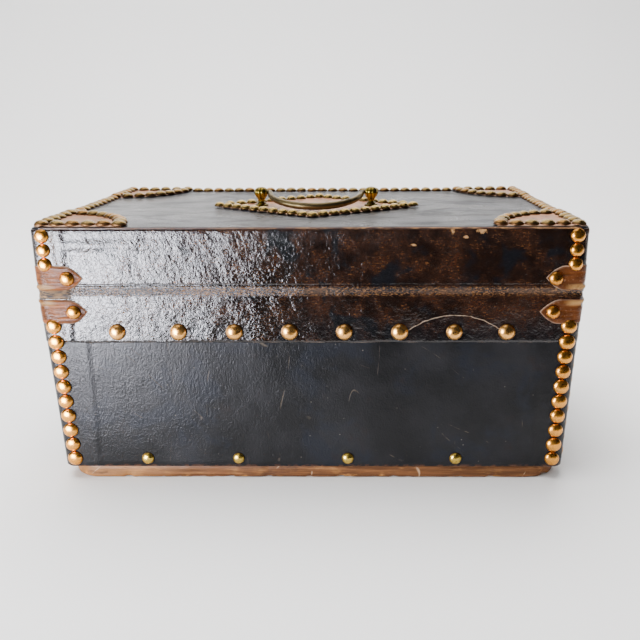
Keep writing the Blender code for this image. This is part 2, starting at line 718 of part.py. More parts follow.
def keyhole_outline(clearance):
    """A round hole with a slot under it, in the XZ plane of the lock side."""
    radius = KEYHOLE_RADIUS + clearance
    slot = KEYHOLE_SLOT_WIDTH / 2 + clearance
    corner = math.asin(slot / radius)
    top = arc((0, 0), radius, corner - math.pi / 2, 1.5 * math.pi - corner, KEYHOLE_STEPS)
    foot = -KEYHOLE_SLOT_LENGTH - clearance
    return top + [(-slot, foot), (slot, foot)]


def keyhole_cutter():
    """The keyhole as a solid that cuts the leather, the front board and the case."""
    clearance = GAP
    z = SEAM_HEIGHT - KEYHOLE_DROP
    length = FRONT - INNER_FRONT + GAP + KEY_DEPTH + OVERRUN
    middle_y = FRONT + OVERRUN - length / 2
    plate = flat_plate("keyhole", [keyhole_outline(clearance)], length, (0, middle_y, z), LOCK_BRASS)
    plate.rotation_euler.x = math.pi / 2
    mesh = evaluated_mesh(plate)
    mesh.transform(plate.matrix_world)
    bpy.data.objects.remove(plate)
    bm = bmesh.new()
    bm.from_mesh(mesh)
    bmesh.ops.remove_doubles(bm, verts=bm.verts, dist=GAP / 10)
    bmesh.ops.recalc_face_normals(bm, faces=bm.faces)
    return mesh_of(bm, "keyhole")


def add_lock(keyhole):
    """The lock case behind the front board, its sliding bolt and the plate round the keyhole."""
    back = INNER_FRONT - GAP
    inner = back - CASE_THICKNESS
    half = CASE_WIDTH / 2
    mesh = block_mesh("lock_case", (-half, inner, SEAM_LOW - CASE_HEIGHT), (half, back, SEAM_LOW))
    case = add_piece("lock_case", mesh, LOCK_BRASS)
    pocket = POCKET_WIDTH / 2
    pocket_low = (-pocket, inner + POCKET_FLOOR, SEAM_LOW - POCKET_DEPTH)
    pocket_high = (pocket, back + OVERRUN, SEAM_LOW + OVERRUN)
    cut(case, "lock_pocket", block_mesh("lock_pocket", pocket_low, pocket_high))
    nose = -pocket - BOLT_SETBACK
    bolt_y = inner + POCKET_FLOOR + LOCK_PLAY
    bolt_top = SEAM_LOW - BOLT_DROP
    bolt_low = Vector((nose - BOLT_LENGTH, bolt_y, bolt_top - BOLT_HEIGHT))
    bolt_high = Vector((nose, bolt_y + BOLT_THICKNESS, bolt_top))
    play = Vector((LOCK_PLAY, LOCK_PLAY, LOCK_PLAY))
    slide_high = bolt_high + play
    slide_high.x = pocket + KEEP_DEPTH
    cut(case, "bolt_slide", block_mesh("bolt_slide", bolt_low - play, slide_high))
    cut(case, "keyhole_in_case", keyhole)
    bolt_middle = (bolt_low + bolt_high) / 2
    bolt_size = (bolt_high - bolt_low) / 2
    bolt = add_piece("lock_bolt", block_mesh("lock_bolt", -bolt_size, bolt_size), LOCK_BRASS)
    bolt.location = bolt_middle
    oval = [
        (PLATE_HALF_WIDTH * math.cos(t), PLATE_HALF_HEIGHT * math.sin(t) - KEYHOLE_SLOT_LENGTH / 2)
        for t in (2 * math.pi * i / PLATE_STEPS for i in range(PLATE_STEPS))
    ]
    place = (0, FRONT + GAP + PLATE / 2, SEAM_HEIGHT - KEYHOLE_DROP)
    plate = flat_plate("escutcheon", [oval, keyhole_outline(0)], PLATE, place, LOCK_BRASS)
    plate.rotation_euler.x = math.pi / 2


def add_link_plate():
    """The plate on the lid's front rail. Its tongue drops into the case and ends in a hook."""
    face = INNER_FRONT - GAP
    inner = face - LINK_THICKNESS
    half = LINK_WIDTH / 2
    low = SEAM_HIGH + LINK_LIFT
    plate = add_piece(
        "link_plate",
        block_mesh("link_plate", (-half, inner, low), (half, face, low + LINK_HEIGHT)),
        LOCK_BRASS,
    )
    tongue_half = TONGUE_WIDTH / 2
    foot = SEAM_HEIGHT - TONGUE_DROP
    tongue_high = (tongue_half, inner + TONGUE_THICKNESS, low + LINK_HEIGHT / 2)
    tongue = add_cutter("tongue", block_mesh("tongue", (-tongue_half, inner, foot), tongue_high))
    hook_low = (-tongue_half, inner - HOOK_DEPTH, foot)
    hook_high = (tongue_half, inner + TONGUE_THICKNESS / 2, foot + HOOK_HEIGHT)
    hook = add_cutter("hook", block_mesh("hook", hook_low, hook_high))
    combine(plate, tongue, "UNION")
    combine(plate, hook, "UNION")


def add_body(keyhole):
    add_base()
    wall_boards("body_", FOOT, SEAM_LOW)
    leather = leather_shell("body_leather", FOOT, SEAM_LOW, has_top=False)
    window_low = SEAM_HEIGHT - HINGE_LEATHER_DROP - GAP
    cut(leather, "body_hinge_window", hinge_window("body_hinge_window", window_low, SEAM_HEIGHT + OVERRUN))
    cut(leather, "keyhole_in_leather", keyhole)
    cut(bpy.data.objects["body_front"], "keyhole_in_board", keyhole)
    first_nail = SEAM_HEIGHT - BODY_COLUMN_DROP
    run = (first_nail - FOOT - BODY_COLUMN_RISE) / math.cos(LEAN_ANGLE)
    add_columns("body", column_mesh("body_column", run, BODY_COLUMN_PITCH), first_nail, LEAN_ANGLE)
    low = SEAM_HEIGHT - BODY_TAB_DROP - TAB_HEIGHT
    for corner, signs in CORNERS.items():
        corner_tab(f"body_tab_{corner}", signs, low, first_nail, TAN_LEATHER)


def add_lid(post_drill):
    board_top = LID_TOP - COVER
    board_low = board_top - LID_BOARD
    half_x = HALF_WIDTH - COVER
    half_y = DEPTH / 2 - COVER
    mesh = block_mesh(
        "lid_board", (-half_x, MIDDLE_Y - half_y, board_low), (half_x, MIDDLE_Y + half_y, board_top)
    )
    board = add_piece("lid_board", mesh, PALE_WOOD)
    round_edges(board, CORNER_RADIUS - COVER, CORNER_SEGMENTS, upright)
    round_rim(board, BOARD_EDGE, 1)
    cut(board, "post_holes_in_board", post_drill)
    wall_boards("lid_rail_", SEAM_HIGH, board_low - GAP)
    leather = leather_shell("lid_leather", SEAM_HIGH, LID_TOP, has_top=True)
    window = hinge_window("lid_hinge_window", SEAM_HEIGHT - OVERRUN, LID_TOP - TOP_LIP)
    cut(leather, "lid_hinge_window", window)
    cut(leather, "post_holes_in_leather", post_drill)
    first_nail = LID_TOP - LID_COLUMN_DROP
    add_columns("lid", column_mesh("lid_column", LID_COLUMN_RUN, LID_COLUMN_PITCH), first_nail, 0)
    low = SEAM_HEIGHT + LID_TAB_LIFT
    for corner, signs in CORNERS.items():
        corner_tab(f"lid_tab_{corner}", signs, low, first_nail - LID_COLUMN_RUN, TAN_LEATHER)
        corner_patch(f"corner_patch_{corner}", signs)
    nails = lid_edge_nail_list()
    add_piece("lid_edge_nails", chain_mesh("lid_edge_nails", nails), NAIL_BRASS)


def hang_lid():
    """Parents every piece of the lid to an empty on the hinge's axis, where the piece is."""
    pieces = [piece for piece in PARTS.objects if piece.name.startswith(LID_NAMES)]
    pivot = bpy.data.objects.new("lid_pivot", None)
    pivot.location = (0, BACK, SEAM_HEIGHT)
    PARTS.objects.link(pivot)
    bpy.context.view_layer.update()
    for piece in pieces:
        world = piece.matrix_world.copy()
        piece.parent = pivot
        piece.matrix_world = world


def main():
    keyhole = keyhole_cutter()
    post_drill = add_posts()
    add_body(keyhole)
    add_hinge_leather()
    add_hinge_nails()
    add_lock(keyhole)
    add_lid(post_drill)
    hole = arc((0, 0), POST_SHANK_RADIUS + GAP, 0, 2 * math.pi, POST_STEPS)[:-1]
    half = POST_SPACING / 2
    add_lozenge([[(x + sign * half, y) for x, y in hole] for sign in (-1, 1)])
    add_bail()
    add_link_plate()
    hang_lid()


main()
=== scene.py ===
"""The looks of a leather document box: worn black and tan leather, brass nails, a bail and old wood.

It is laid out as an add-on with one operator for each group of pieces, and it runs as a script.
"""

import random
from math import asin, ceil, copysign, cos, exp, hypot, pi, radians, sin, sqrt

import bpy
import numpy as np
from bpy.props import FloatProperty, FloatVectorProperty, IntProperty, PointerProperty
from mathutils import Matrix, Vector
from mathutils.noise import noise as smooth_noise


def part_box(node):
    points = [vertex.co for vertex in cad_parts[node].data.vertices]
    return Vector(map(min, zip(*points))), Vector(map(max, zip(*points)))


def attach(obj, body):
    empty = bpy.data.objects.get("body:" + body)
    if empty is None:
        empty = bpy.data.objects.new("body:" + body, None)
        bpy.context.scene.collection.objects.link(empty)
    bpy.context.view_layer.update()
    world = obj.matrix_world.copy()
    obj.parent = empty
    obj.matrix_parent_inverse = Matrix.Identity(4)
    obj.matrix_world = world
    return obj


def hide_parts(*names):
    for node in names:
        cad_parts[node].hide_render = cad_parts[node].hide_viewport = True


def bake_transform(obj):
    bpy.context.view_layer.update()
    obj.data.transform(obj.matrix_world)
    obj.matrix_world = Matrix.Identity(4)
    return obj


bl_info = {
    "name": "Leather document box",
    "version": (1, 0, 0),
    "blender": (4, 5, 0),
    "location": "3D View > Sidebar > Document box",
    "description": "Builds the visible surfaces of a leather document box round its solid frame",
    "category": "Object",
}

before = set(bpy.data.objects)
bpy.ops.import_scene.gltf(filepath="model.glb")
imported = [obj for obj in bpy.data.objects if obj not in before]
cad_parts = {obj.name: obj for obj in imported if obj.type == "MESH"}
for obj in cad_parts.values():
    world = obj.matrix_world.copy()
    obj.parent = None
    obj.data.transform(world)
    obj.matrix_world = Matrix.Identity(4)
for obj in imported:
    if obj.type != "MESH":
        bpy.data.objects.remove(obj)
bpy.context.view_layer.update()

# Places read from the frame, in metres. HALF and HALF_DEPTH are half the lid's length and depth
LID_LOW, LID_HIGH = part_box("lid_leather")
BODY_LOW, BODY_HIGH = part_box("body_leather")
BASE_LOW, BASE_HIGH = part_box("base_board")
DIAMOND_LOW, DIAMOND_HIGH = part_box("lozenge_patch")
STRIP_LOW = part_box("hinge_leather_body")[0].z
HALF = LID_HIGH.x
BACK = LID_LOW.y
MIDDLE = (BACK + LID_HIGH.y) / 2
HALF_DEPTH = (LID_HIGH.y - BACK) / 2
TOP = LID_HIGH.z
SEAM = (LID_LOW.z + BODY_HIGH.z) / 2
FOOT = BODY_LOW.z
HANDLE_Y = (DIAMOND_LOW.y + DIAMOND_HIGH.y) / 2
CORNERS = {"back_left": (-1, -1), "back_right": (1, -1), "front_left": (-1, 1), "front_right": (1, 1)}
# How much longer each tab of the hinge side is than the rest, and how much nearer its tip the nail is
TAB_EXTRAS = {
    "lid_back_left": (0.003, 0.0003),
    "lid_back_right": (-0.002, -0.0013),
    "body_back_left": (0.0036, 0.0016),
    "body_back_right": (0.0, -0.0014),
}

# Sizes that the visible pieces share with the solids
LEAN = 0.0047
CORNER = 0.006
HALF_ARC = CORNER * pi / 4
BODY_HIDE = 0.0013
LID_HIDE = 0.0011
STRIP_SHEET = 0.0006
GLUE_GAP = 0.0003
BOARD = 0.01
BASE_CORNER = 0.02
WELT_RADIUS = 0.0006
COLUMN_INSET = 0.008
END_COLUMN_INSET = 0.0145
TOP_INSET = 0.006
ARC_RADIUS = 0.053
DIAMOND_REACH = 0.069
DIAMOND_RISE = 0.051
NAIL_PITCH = 0.0096
FRONT_PITCH = 0.0091
DIAMOND_PITCH = 0.0086
# How far out the rim of a nail lies on bare leather
ON_LEATHER = 0.0002
# The lining paper's distance from the boards and from the joint
PAPER_GAP = 0.0002
PAPER_DROP = 0.0012
# Depth of the foot nails below the top, and their places along the back
FOOT_NAIL_DEPTH = 0.1505
FOOT_NAILS = (-0.1071, -0.0481, 0.0227, 0.0924)
PATCH_TOP = TOP + 0.0011
PATCH_THICKNESS = PATCH_TOP - TOP
# Upright rows of nails: heights of the first and of the last head, and how many
LID_COLUMN = (TOP - 0.0050, TOP - 0.0222, 3)
BODY_COLUMN = (SEAM - 0.0208, FOOT + 0.006, 10)

# Steps round a ring of leather: in each corner, along the long sides and along the short ones
RING_STEPS = (8, 84, 50)
UP = Vector((0, 0, 1))


def inset(z):
    """How far the ends of the body have leaned in at height z."""
    return LEAN * max(0.0, SEAM - z) / (SEAM - FOOT)


def round_corner(s, z, out):
    """Plan place in the right front quarter, s along the outline from the corner's middle and out from it."""
    turn = pi / 4 + max(-HALF_ARC, min(HALF_ARC, s)) / CORNER
    straight = max(0.0, abs(s) - HALF_ARC)
    x = HALF - inset(z) - CORNER + (CORNER + out) * cos(turn)
    y = HALF_DEPTH - CORNER + (CORNER + out) * sin(turn)
    return (x - straight, y) if s > 0 else (x, y - straight)


def ripple(place, size, amount):
    """A smooth unevenness of a surface, the same every time."""
    return amount * smooth_noise(Vector(place) / size)


def ease(value, low, high):
    """0 below low, 1 above high, and a soft step between."""
    share = min(1.0, max(0.0, (value - low) / (high - low)))
    return share * share * (3 - 2 * share)


def dent(away, size):
    """1 where away is 0, fading to 0 over a few times size."""
    return exp(-((away / size) ** 2))


# Sizes and colours to play with


def length(name, description, default, high=1.0, low=0.0):
    kind = {"subtype": "DISTANCE", "unit": "LENGTH"}
    return FloatProperty(name=name, description=description, default=default, min=low, max=high, **kind)


def number(name, description, default, high=1.0):
    return FloatProperty(name=name, description=description, default=default, min=0.0, max=high)


def count(name, description, default, low, high):
    return IntProperty(name=name, description=description, default=default, min=low, max=high)


def colour(name, description, default):
    kind = {"size": 3, "subtype": "COLOR"}
    return FloatVectorProperty(name=name, description=description, default=default, min=0.0, max=1.0, **kind)


class DocumentBoxNails(bpy.types.PropertyGroup):
    radius: length("Row nail radius", "Radius of the heads in the long rows", 0.0046)
    height: length("Row nail height", "Height of the heads in the long rows", 0.0029)
    large_radius: length("Hinge nail radius", "Radius of the heads on the leather hinge", 0.0054)
    large_height: length("Hinge nail height", "Height of the heads on the leather hinge", 0.004)
    small_radius: length("Small nail radius", "Radius of the loose small heads", 0.004)
    unevenness: number("Unevenness", "How much the heads differ in size, tilt and place", 1.0, 3.0)
    sides: count("Sides", "Segments round each head", 20, 8, 48)
    pale_gold: colour("Pale gold", "Brass of the large hinge nails", (0.9, 0.45, 0.12))
    gold: colour("Gold", "Polished side of the nail brass", (0.7, 0.3, 0.048))
    copper: colour("Copper", "Redder nails among the others", (0.6, 0.2, 0.038))
    yellow: colour("Yellow", "Newer small nails along the foot", (0.64, 0.43, 0.08))
    worn: colour("Worn", "Brass of the nails on the top", (0.5, 0.33, 0.115))
    diamond: colour("Diamond", "Brass of the nails round the diamond", (0.6, 0.41, 0.13))
    # The tarnish colour darkens the rims of the heads, as dirt and as painted shade between and under them
    tarnish: colour("Tarnish", "Dirt round the rims of the heads", (0.1, 0.045, 0.02))


class DocumentBoxLeather(bpy.types.PropertyGroup):
    black: colour("Black", "Body leather", (0.0072, 0.0072, 0.0088))
    brown: colour("Brown", "Where the black has worn off the leather hinge", (0.03, 0.0098, 0.0036))
    tan: colour("Tan", "Tabs round the corners", (0.24, 0.066, 0.01))
    pale_tan: colour("Pale tan", "Patches on the top", (0.3, 0.152, 0.088))
    cut_edge: colour("Cut edge", "Raw edges of the tan leather", (0.36, 0.25, 0.18))
    strip_thickness: length("Hinge thickness", "How far the leather hinge stands proud", 0.0009)
    tab_thickness: length("Tab thickness", "How far a tab stands proud", 0.0009)
    tab_height: length("Tab height", "Height of a tab", 0.0153)
    tab_reach: length("Tab reach", "From the next face to a tab's tip", 0.027)
    wear: number("Wear", "How worn and scuffed the leather is", 1.0, 2.0)


class DocumentBoxMetal(bpy.types.PropertyGroup):
    knob_flutes: count("Flutes", "Flutes round each knob", 10, 0, 24)
    flute_depth: length("Flute depth", "Depth of the flutes of a knob", 0.00045)
    post: colour("Post brass", "Bright brass of the two posts", (0.36, 0.25, 0.04))
    bail: colour("Bail brass", "Dull brass of the bail", (0.15, 0.112, 0.052))
    lock: colour("Lock brass", "Brass of the lock and its plate", (0.4, 0.265, 0.095))


class DocumentBoxWood(bpy.types.PropertyGroup):
    base: colour("Base wood", "Stained edge of the base board", (0.215, 0.082, 0.026))
    bare: colour("Bare wood", "Where the base board is chipped or rubbed", (0.64, 0.29, 0.085))
    board: colour("Boards", "Unstained boards under the leather", (0.52, 0.35, 0.2))
    paper: colour("Lining paper", "Paper pasted inside", (0.55, 0.43, 0.3))
    nick_depth: length("Nick depth", "Depth of the nicks along the base board's edges", 0.0011)


class DocumentBoxStage(bpy.types.PropertyGroup):
    lens: number("Lens", "Focal length in millimetres on a 36 mm frame", 40.84, 200.0)
    away: length("Camera distance", "From the hinge side to the camera", 0.4271, 10.0)
    above: length("Camera height", "From the lid's top up to the camera", 0.0675, 10.0)
    aside: length("Camera offset", "From the middle of the box to the camera", 0.0261, 10.0)
    window_power: number("Window", "Light from the left, in watts", 6.5, 1000.0)
    gloss_power: number("Gloss", "Low light that glossy leather shows, in watts", 13.0, 1000.0)
    fill_power: number("Fill", "Soft light from above, in watts", 130.0, 1000.0)
    table_edge: length("Near floor", "Where the floor that glossy leather shows begins", -0.27, -0.2, -3.0)
    surround: number("Surround", "Brightness of the room", 0.05, 5.0)
    floor: colour("Floor", "Pale floor and wall", (0.82, 0.82, 0.825))


# Finishes


class Signal:
    """A number, colour or vector on its way through a finish's nodes, which Python's operators act on."""

    def __init__(self, finish, socket):
        self.finish = finish
        self.socket = socket

    def maths(self, operation, first, second):
        return self.finish.node("ShaderNodeMath", {"operation": operation}, {0: first, 1: second})

    def __add__(self, other):
        return self.maths("ADD", self, other)

    def __sub__(self, other):
        return self.maths("SUBTRACT", self, other)

    def __rsub__(self, other):
        return self.maths("SUBTRACT", other, self)

    def __mul__(self, other):
        return self.maths("MULTIPLY", self, other)

    def __truediv__(self, other):
        return self.maths("DIVIDE", self, other)

    def __pow__(self, other):
        return self.maths("POWER", self, other)

    def __abs__(self):
        return self.maths("ABSOLUTE", self, 0.0)

    def larger(self, other):
        return self.maths("MAXIMUM", self, other)

    __radd__ = __add__
    __rmul__ = __mul__


class Finish:
    """A material that is built up from one Principled shader."""

    def __init__(self, name, specular=0.5, roughness=0.5, metallic=0.0):
        self.material = bpy.data.materials.new(name)
        self.material.use_nodes = True
        self.tree = self.material.node_tree
        self.shader = self.tree.nodes["Principled BSDF"]
        self.set("Specular IOR Level", specular)
        self.set("Roughness", roughness)
        self.set("Metallic", metallic)
        self.set("Coat Roughness", 0.1)
        self.shade = None
        self.relief = None
        self.place = self.node("ShaderNodeTexCoord", output="Object")

    def node(self, kind, settings=None, sockets=None, output=0):
        """Adds any node: its settings first, then the values or links of its sockets."""
        made = self.tree.nodes.new(kind)
        for name, value in (settings or {}).items():
            setattr(made, name, value)
        for name, value in (sockets or {}).items():
            self.plug(made.inputs[name], value)
        return Signal(self, made.outputs[output])

    def plug(self, socket, value):
        """Links a signal to a socket, or sets the socket's own value."""
        if isinstance(value, Signal):
            self.tree.links.new(value.socket, socket)
        else:
            socket.default_value = (*value, 1.0) if socket.type == "RGBA" else value

    def set(self, name, value):
        self.plug(self.shader.inputs[name], value)

    def stretched(self, x, y, z, turn=None):
        """The place on the surface, scaled, and turned before that about the axis from hinge to lock side."""
        place = self.place
        if turn is not None:
            turned = {"Vector": place, "Angle": turn}
            place = self.node("ShaderNodeVectorRotate", {"rotation_type": "Y_AXIS"}, turned)
        return self.node("ShaderNodeVectorMath", {"operation": "MULTIPLY"}, {0: place, 1: (x, y, z)})

    def axes(self):
        """The three coordinates of the place on the surface."""
        parts = self.node("ShaderNodeSeparateXYZ", None, {"Vector": self.place}).socket.node
        return [Signal(self, socket) for socket in parts.outputs]

    def noise(self, size, detail=3.0, rough=0.55, bend=0.0, stretch=None):
        """Noise from 0 to 1 whose clouds are about size metres across, and longer where stretch is small."""
        sockets = {"Scale": 1 / size, "Detail": detail, "Roughness": rough, "Distortion": bend}
        sockets["Vector"] = self.stretched(*stretch) if stretch else self.place
        return self.node("ShaderNodeTexNoise", None, sockets)

    def cells(self, size):
        """Distance from the middles of cells about size metres across."""
        return self.node("ShaderNodeTexVoronoi", None, {"Vector": self.place, "Scale": 1 / size}, "Distance")

    def step(self, value, low, high, start=0.0, end=1.0):
        """A soft step from start to end as value goes from low to high."""
        sockets = {0: value, 1: low, 2: high, 3: start, 4: end}
        return self.node("ShaderNodeMapRange", {"interpolation_type": "SMOOTHSTEP"}, sockets)

    def band(self, value, middle, half, soft):
        """1 where value is within half of middle, fading to 0 over soft."""
        return self.step(abs(value - middle), half, half + soft, 1.0, 0.0)

    def tint(self, over, mask, under=None):
        """Lays a colour over the base colour, or over another one, as far as the mask goes from 0 to 1."""
        under = self.shade if under is None else under
        self.shade = self.node("ShaderNodeMix", {"data_type": "RGBA"}, {0: mask, 6: under, 7: over}, 2)
        self.set("Base Color", self.shade)

    def mark(self, name):
        """A number stored on the mesh's points."""
        return self.node("ShaderNodeAttribute", {"attribute_name": name}, output="Fac")

    def bump(self, height, depth, strength=1.0):
        """Adds relief of that depth in metres to the surface."""
        sockets = {"Strength": strength, "Distance": depth, "Height": height}
        if self.relief:
            sockets["Normal"] = self.relief
        self.relief = self.node("ShaderNodeBump", None, sockets)
        self.set("Normal", self.relief)

    def tools(self):
        """The four methods that every finish uses."""
        return self.noise, self.step, self.tint, self.bump


def scaled(shade, factor):
    """A colour made lighter or darker."""
    return tuple(min(1.0, c * factor) for c in shade)


def black_leather(name, group, top=False):
    """Worn black leather: fine grain, dull and shiny clouds, scratches and specks of dust."""
    finish = Finish(name, specular=0.27 if top else 0.22)
    noise, step, tint, bump = finish.tools()
    x, _, z = finish.axes()
    clouds = noise(0.035, 5)
    fine = noise(0.0016)
    tint(scaled(group.black, 2.0), step(clouds, 0.35, 0.75), scaled(group.black, 0.75))
    tint((0.0085, 0.011, 0.019), step(noise(0.03, 4, 0.6, 0.4), 0.5, 0.66) * 0.8)
    tint(scaled(group.brown, 0.6), step(noise(0.018, 6, 0.65), 0.6, 0.8) * 0.5)
    # Hair scratches run along the level lines of slow clouds, most of them upright
    upright = noise(0.03, 1, 0.4, 0.2, (1, 1, 0.18))
    crossing = noise(0.026, 1, 0.4, 0.3, (1, 1, 0.3, 0.9))
    lines = finish.band(upright, 0.5, 0.0, 0.0045) * step(noise(0.016), 0.54, 0.66)
    others = finish.band(crossing, 0.47, 0.0, 0.005) * step(noise(0.012), 0.58, 0.68)
    scratches = lines.larger(others)
    tint((0.16, 0.12, 0.085), scratches * (0.55 * group.wear))
    specks = step(finish.cells(0.006), 0.03, 0.09, 1.0, 0.0) * step(noise(0.03, 2), 0.47, 0.62)
    tint((0.3, 0.26, 0.22), specks * (0.5 * group.wear))
    if top:
        streaks = step(noise(0.02, 5, 0.65, 0.5, (0.5, 1, 1)), 0.48, 0.64)
        dull = step(clouds, 0.3, 0.75, 0.26, 0.4) + streaks * 0.14
        finish.set("Coat Weight", step(x, -0.17, -0.02, 0.3, 0.0))
    else:
        tint((0.24, 0.115, 0.045), finish.band(z, SEAM, 0.0012, 0.0016) * step(fine, 0.3, 0.55))
        tint((0.13, 0.055, 0.03), step(z, FOOT, FOOT + 0.0022, 1.0, 0.0) * step(noise(0.004, 4), 0.45, 0.6))
        dull = step(clouds, 0.3, 0.75, 0.31, 0.44)
    finish.set("Roughness", dull + (fine - 0.5) * 0.12)
    bump(noise(0.012), 0.001, 0.35)
    if not top:
        # The ridge that a board's end presses through the leather
        bump(finish.band(abs(x) + (clouds - 0.5) * 0.003, 0.1405, 0.0004, 0.0045), 0.0009, 0.5)
    bump(noise(0.001, 3, 0.6, 0, (1, 1, 0.45)), 0.00034, 0.7)
    bump(finish.cells(0.00095), 0.00016, 0.55)
    bump(1 - scratches, 0.00012, 0.5)
    return finish


# Scuffs near the top edge of the hinge side: place along it, depth below the top, half width and half height
SCUFFS = (
    (0.1022, 0.0023, 0.0032, 0.0016),
    (0.085, 0.0024, 0.0012, 0.0019),
    (0.093, 0.0058, 0.0014, 0.001),
    (0.062, 0.0105, 0.0018, 0.0007),
)
# The torn arc at the right of the hinge side: its middle along it and below the top, and its radius
TORN_ARC = (0.0885, 0.1005, 0.0465)


def hinge_leather(group):
    """The wide strip: glossy, pebbled and creased, black worn to brown, rubbed golden along its crease."""
    finish = Finish("hinge_leather_finish", specular=0.55)
    noise, step, tint, bump = finish.tools()
    x, _, z = finish.axes()
    clouds = noise(0.04, 5, 0.55, 0.3)
    blots = noise(0.009, 5, 0.6)
    fine = noise(0.0008, 4, 0.6)
    worn = step(blots + (clouds - 0.5) * 0.8, 0.36, 0.68)
    tint(scaled(group.brown, 1.1), worn, scaled(group.brown, 0.3))
    low_down = step(z, SEAM - 0.03, SEAM - 0.008, 0.9, 0.0) * step(clouds, 0.3, 0.6)
    cold = step(noise(0.024, 6, 0.62, 0.5), 0.54, 0.62).larger(low_down)
    tint((0.0052, 0.0056, 0.0076), cold)
    # Fine golden flecks, most of them where the leather has stayed brown
    slanted = noise(0.00075, 4, 0.62, 0.5, (0.4, 1, 1))
    flecks = step(slanted, 0.58, 0.68) * step(blots, 0.42, 0.6) * (1 - cold * 0.8)
    tint(scaled((0.2, 0.088, 0.03), group.wear), flecks * 0.5)
    tint((0.0035, 0.0025, 0.0022), step(slanted, 0.46, 0.38) * 0.6)
    # The rubbed band along the crease, full of short cracks
    short = noise(0.0005, 4, 0.65, 0.4, (0.32, 1, 1))
    in_band = finish.band(z + (blots - 0.5) * 0.0016, SEAM + 0.0014, 0.0016, 0.0022)
    tint((0.33, 0.15, 0.05), in_band * step(short, 0.5, 0.64) * 0.9)
    tint((0.014, 0.006, 0.0035), in_band * step(short, 0.44, 0.34) * 0.6)
    # Painted shade in the groove above the crease, strongest on the left
    groove = finish.band(z + (blots - 0.5) * 0.0012, SEAM + 0.0054, 0.0002, 0.0007)
    groove = groove * step(x, -0.09, 0.03, 1.0, 0.2)
    tint((0.006, 0.004, 0.003), groove * 0.9)
    # Its left end, frayed in layers
    layers = noise(0.00055, 3, 0.6, 0.2, (0.1, 1, 1))
    left_end = finish.band(z, SEAM + 0.0004, 0.0026, 0.0012) * step(x, -0.152, -0.143, 1.0, 0.0)
    tint((0.02, 0.009, 0.005), left_end * 0.9)
    tint((0.55, 0.29, 0.1), left_end * step(layers, 0.42, 0.54) * 0.9)
    # The torn arc, frayed at its right end, and the scuffs
    arc_x, arc_depth, arc_radius = TORN_ARC
    across = x - arc_x
    up = z - (TOP - arc_depth)
    frayed = step(x, 0.112, 0.126)
    ragged = (noise(0.0036, 5, 0.75) - 0.5) * (0.002 + frayed * 0.005)
    away = (across * across + up * up) ** 0.5 + ragged
    torn = finish.band(away, arc_radius, 0.00006 + frayed * 0.0001, 0.00028)
    torn = torn * step(z, TOP - 0.0655, TOP - 0.0625) * step(noise(0.0016), 0.36, 0.5, 0.3, 1.0)
    tint((0.5, 0.38, 0.28), torn * 0.75)
    for middle_x, depth, half_x, half_z in SCUFFS:
        away = ((x - middle_x) / half_x) ** 2 + ((z - TOP + depth) / half_z) ** 2
        scuff = step(away + (noise(0.0012, 5, 0.8) - 0.5) * 7, 0.3, 1.0, 1.0, 0.0)
        tint((0.5, 0.27, 0.11), scuff * 0.85)
    low_edge = step(z, STRIP_LOW, STRIP_LOW + 0.0009, 1.0, 0.0)
    tint((0.13, 0.105, 0.09), low_edge * step(blots, 0.48, 0.6) * 0.7)
    upper = step(z + (blots - 0.5) * 0.004, TOP - 0.012, TOP - 0.0085)
    dull = step(clouds, 0.3, 0.7, 0.16, 0.21)
    finish.set("Roughness", dull + upper * 0.05 + in_band * 0.08 + left_end * 0.35)
    # Board edges that press through the leather, waves, slanting creases, pebbles and fine grain
    ends = finish.band(abs(x) + (blots - 0.5) * 0.002, 0.1497, 0.0004, 0.005)
    bench = finish.band(z + (blots - 0.5) * 0.002, TOP - 0.0108, 0.0004, 0.0045)
    bench = bench * step(x, -0.15, -0.06, 0.8, 0.25) * step(abs(x), 0.145, 0.15, 1.0, 0.0)
    creases = noise(0.005, 4, 0.6, 1.0, (1, 1, 0.42, 0.38))
    creases = creases * step(abs(x + 0.075), 0.03, 0.07, 1.0, 0.35) * step(z, SEAM, SEAM + 0.006, 0.3, 1.0)
    left_share = step(x, -0.1, 0.02, 1.0, 0.35)
    bump(ends + bench, 0.0017, 0.5)
    bump(noise(0.016, 3, 0.5, 0.3), 0.0024, 0.5)
    bump(noise(0.0065, 3, 0.5, 0.3), 0.001, 0.5)
    bump(creases, 0.0009, 0.55)
    bump(noise(0.0018, 3, 0.55, 0.8) * step(x, -0.1, 0.02, 1.0, 0.55), 0.00078, 0.55)
    bump(finish.cells(0.0011), 0.0001, 0.6)
    bump(fine, 0.00005, 0.6)
    bump(short * in_band * left_share, 0.00024, 0.8)
    bump(layers * in_band * left_share, 0.0007, 0.9)
    bump(layers * left_end, 0.0014)
    bump(1 - groove, 0.0006, 0.8)
    return finish


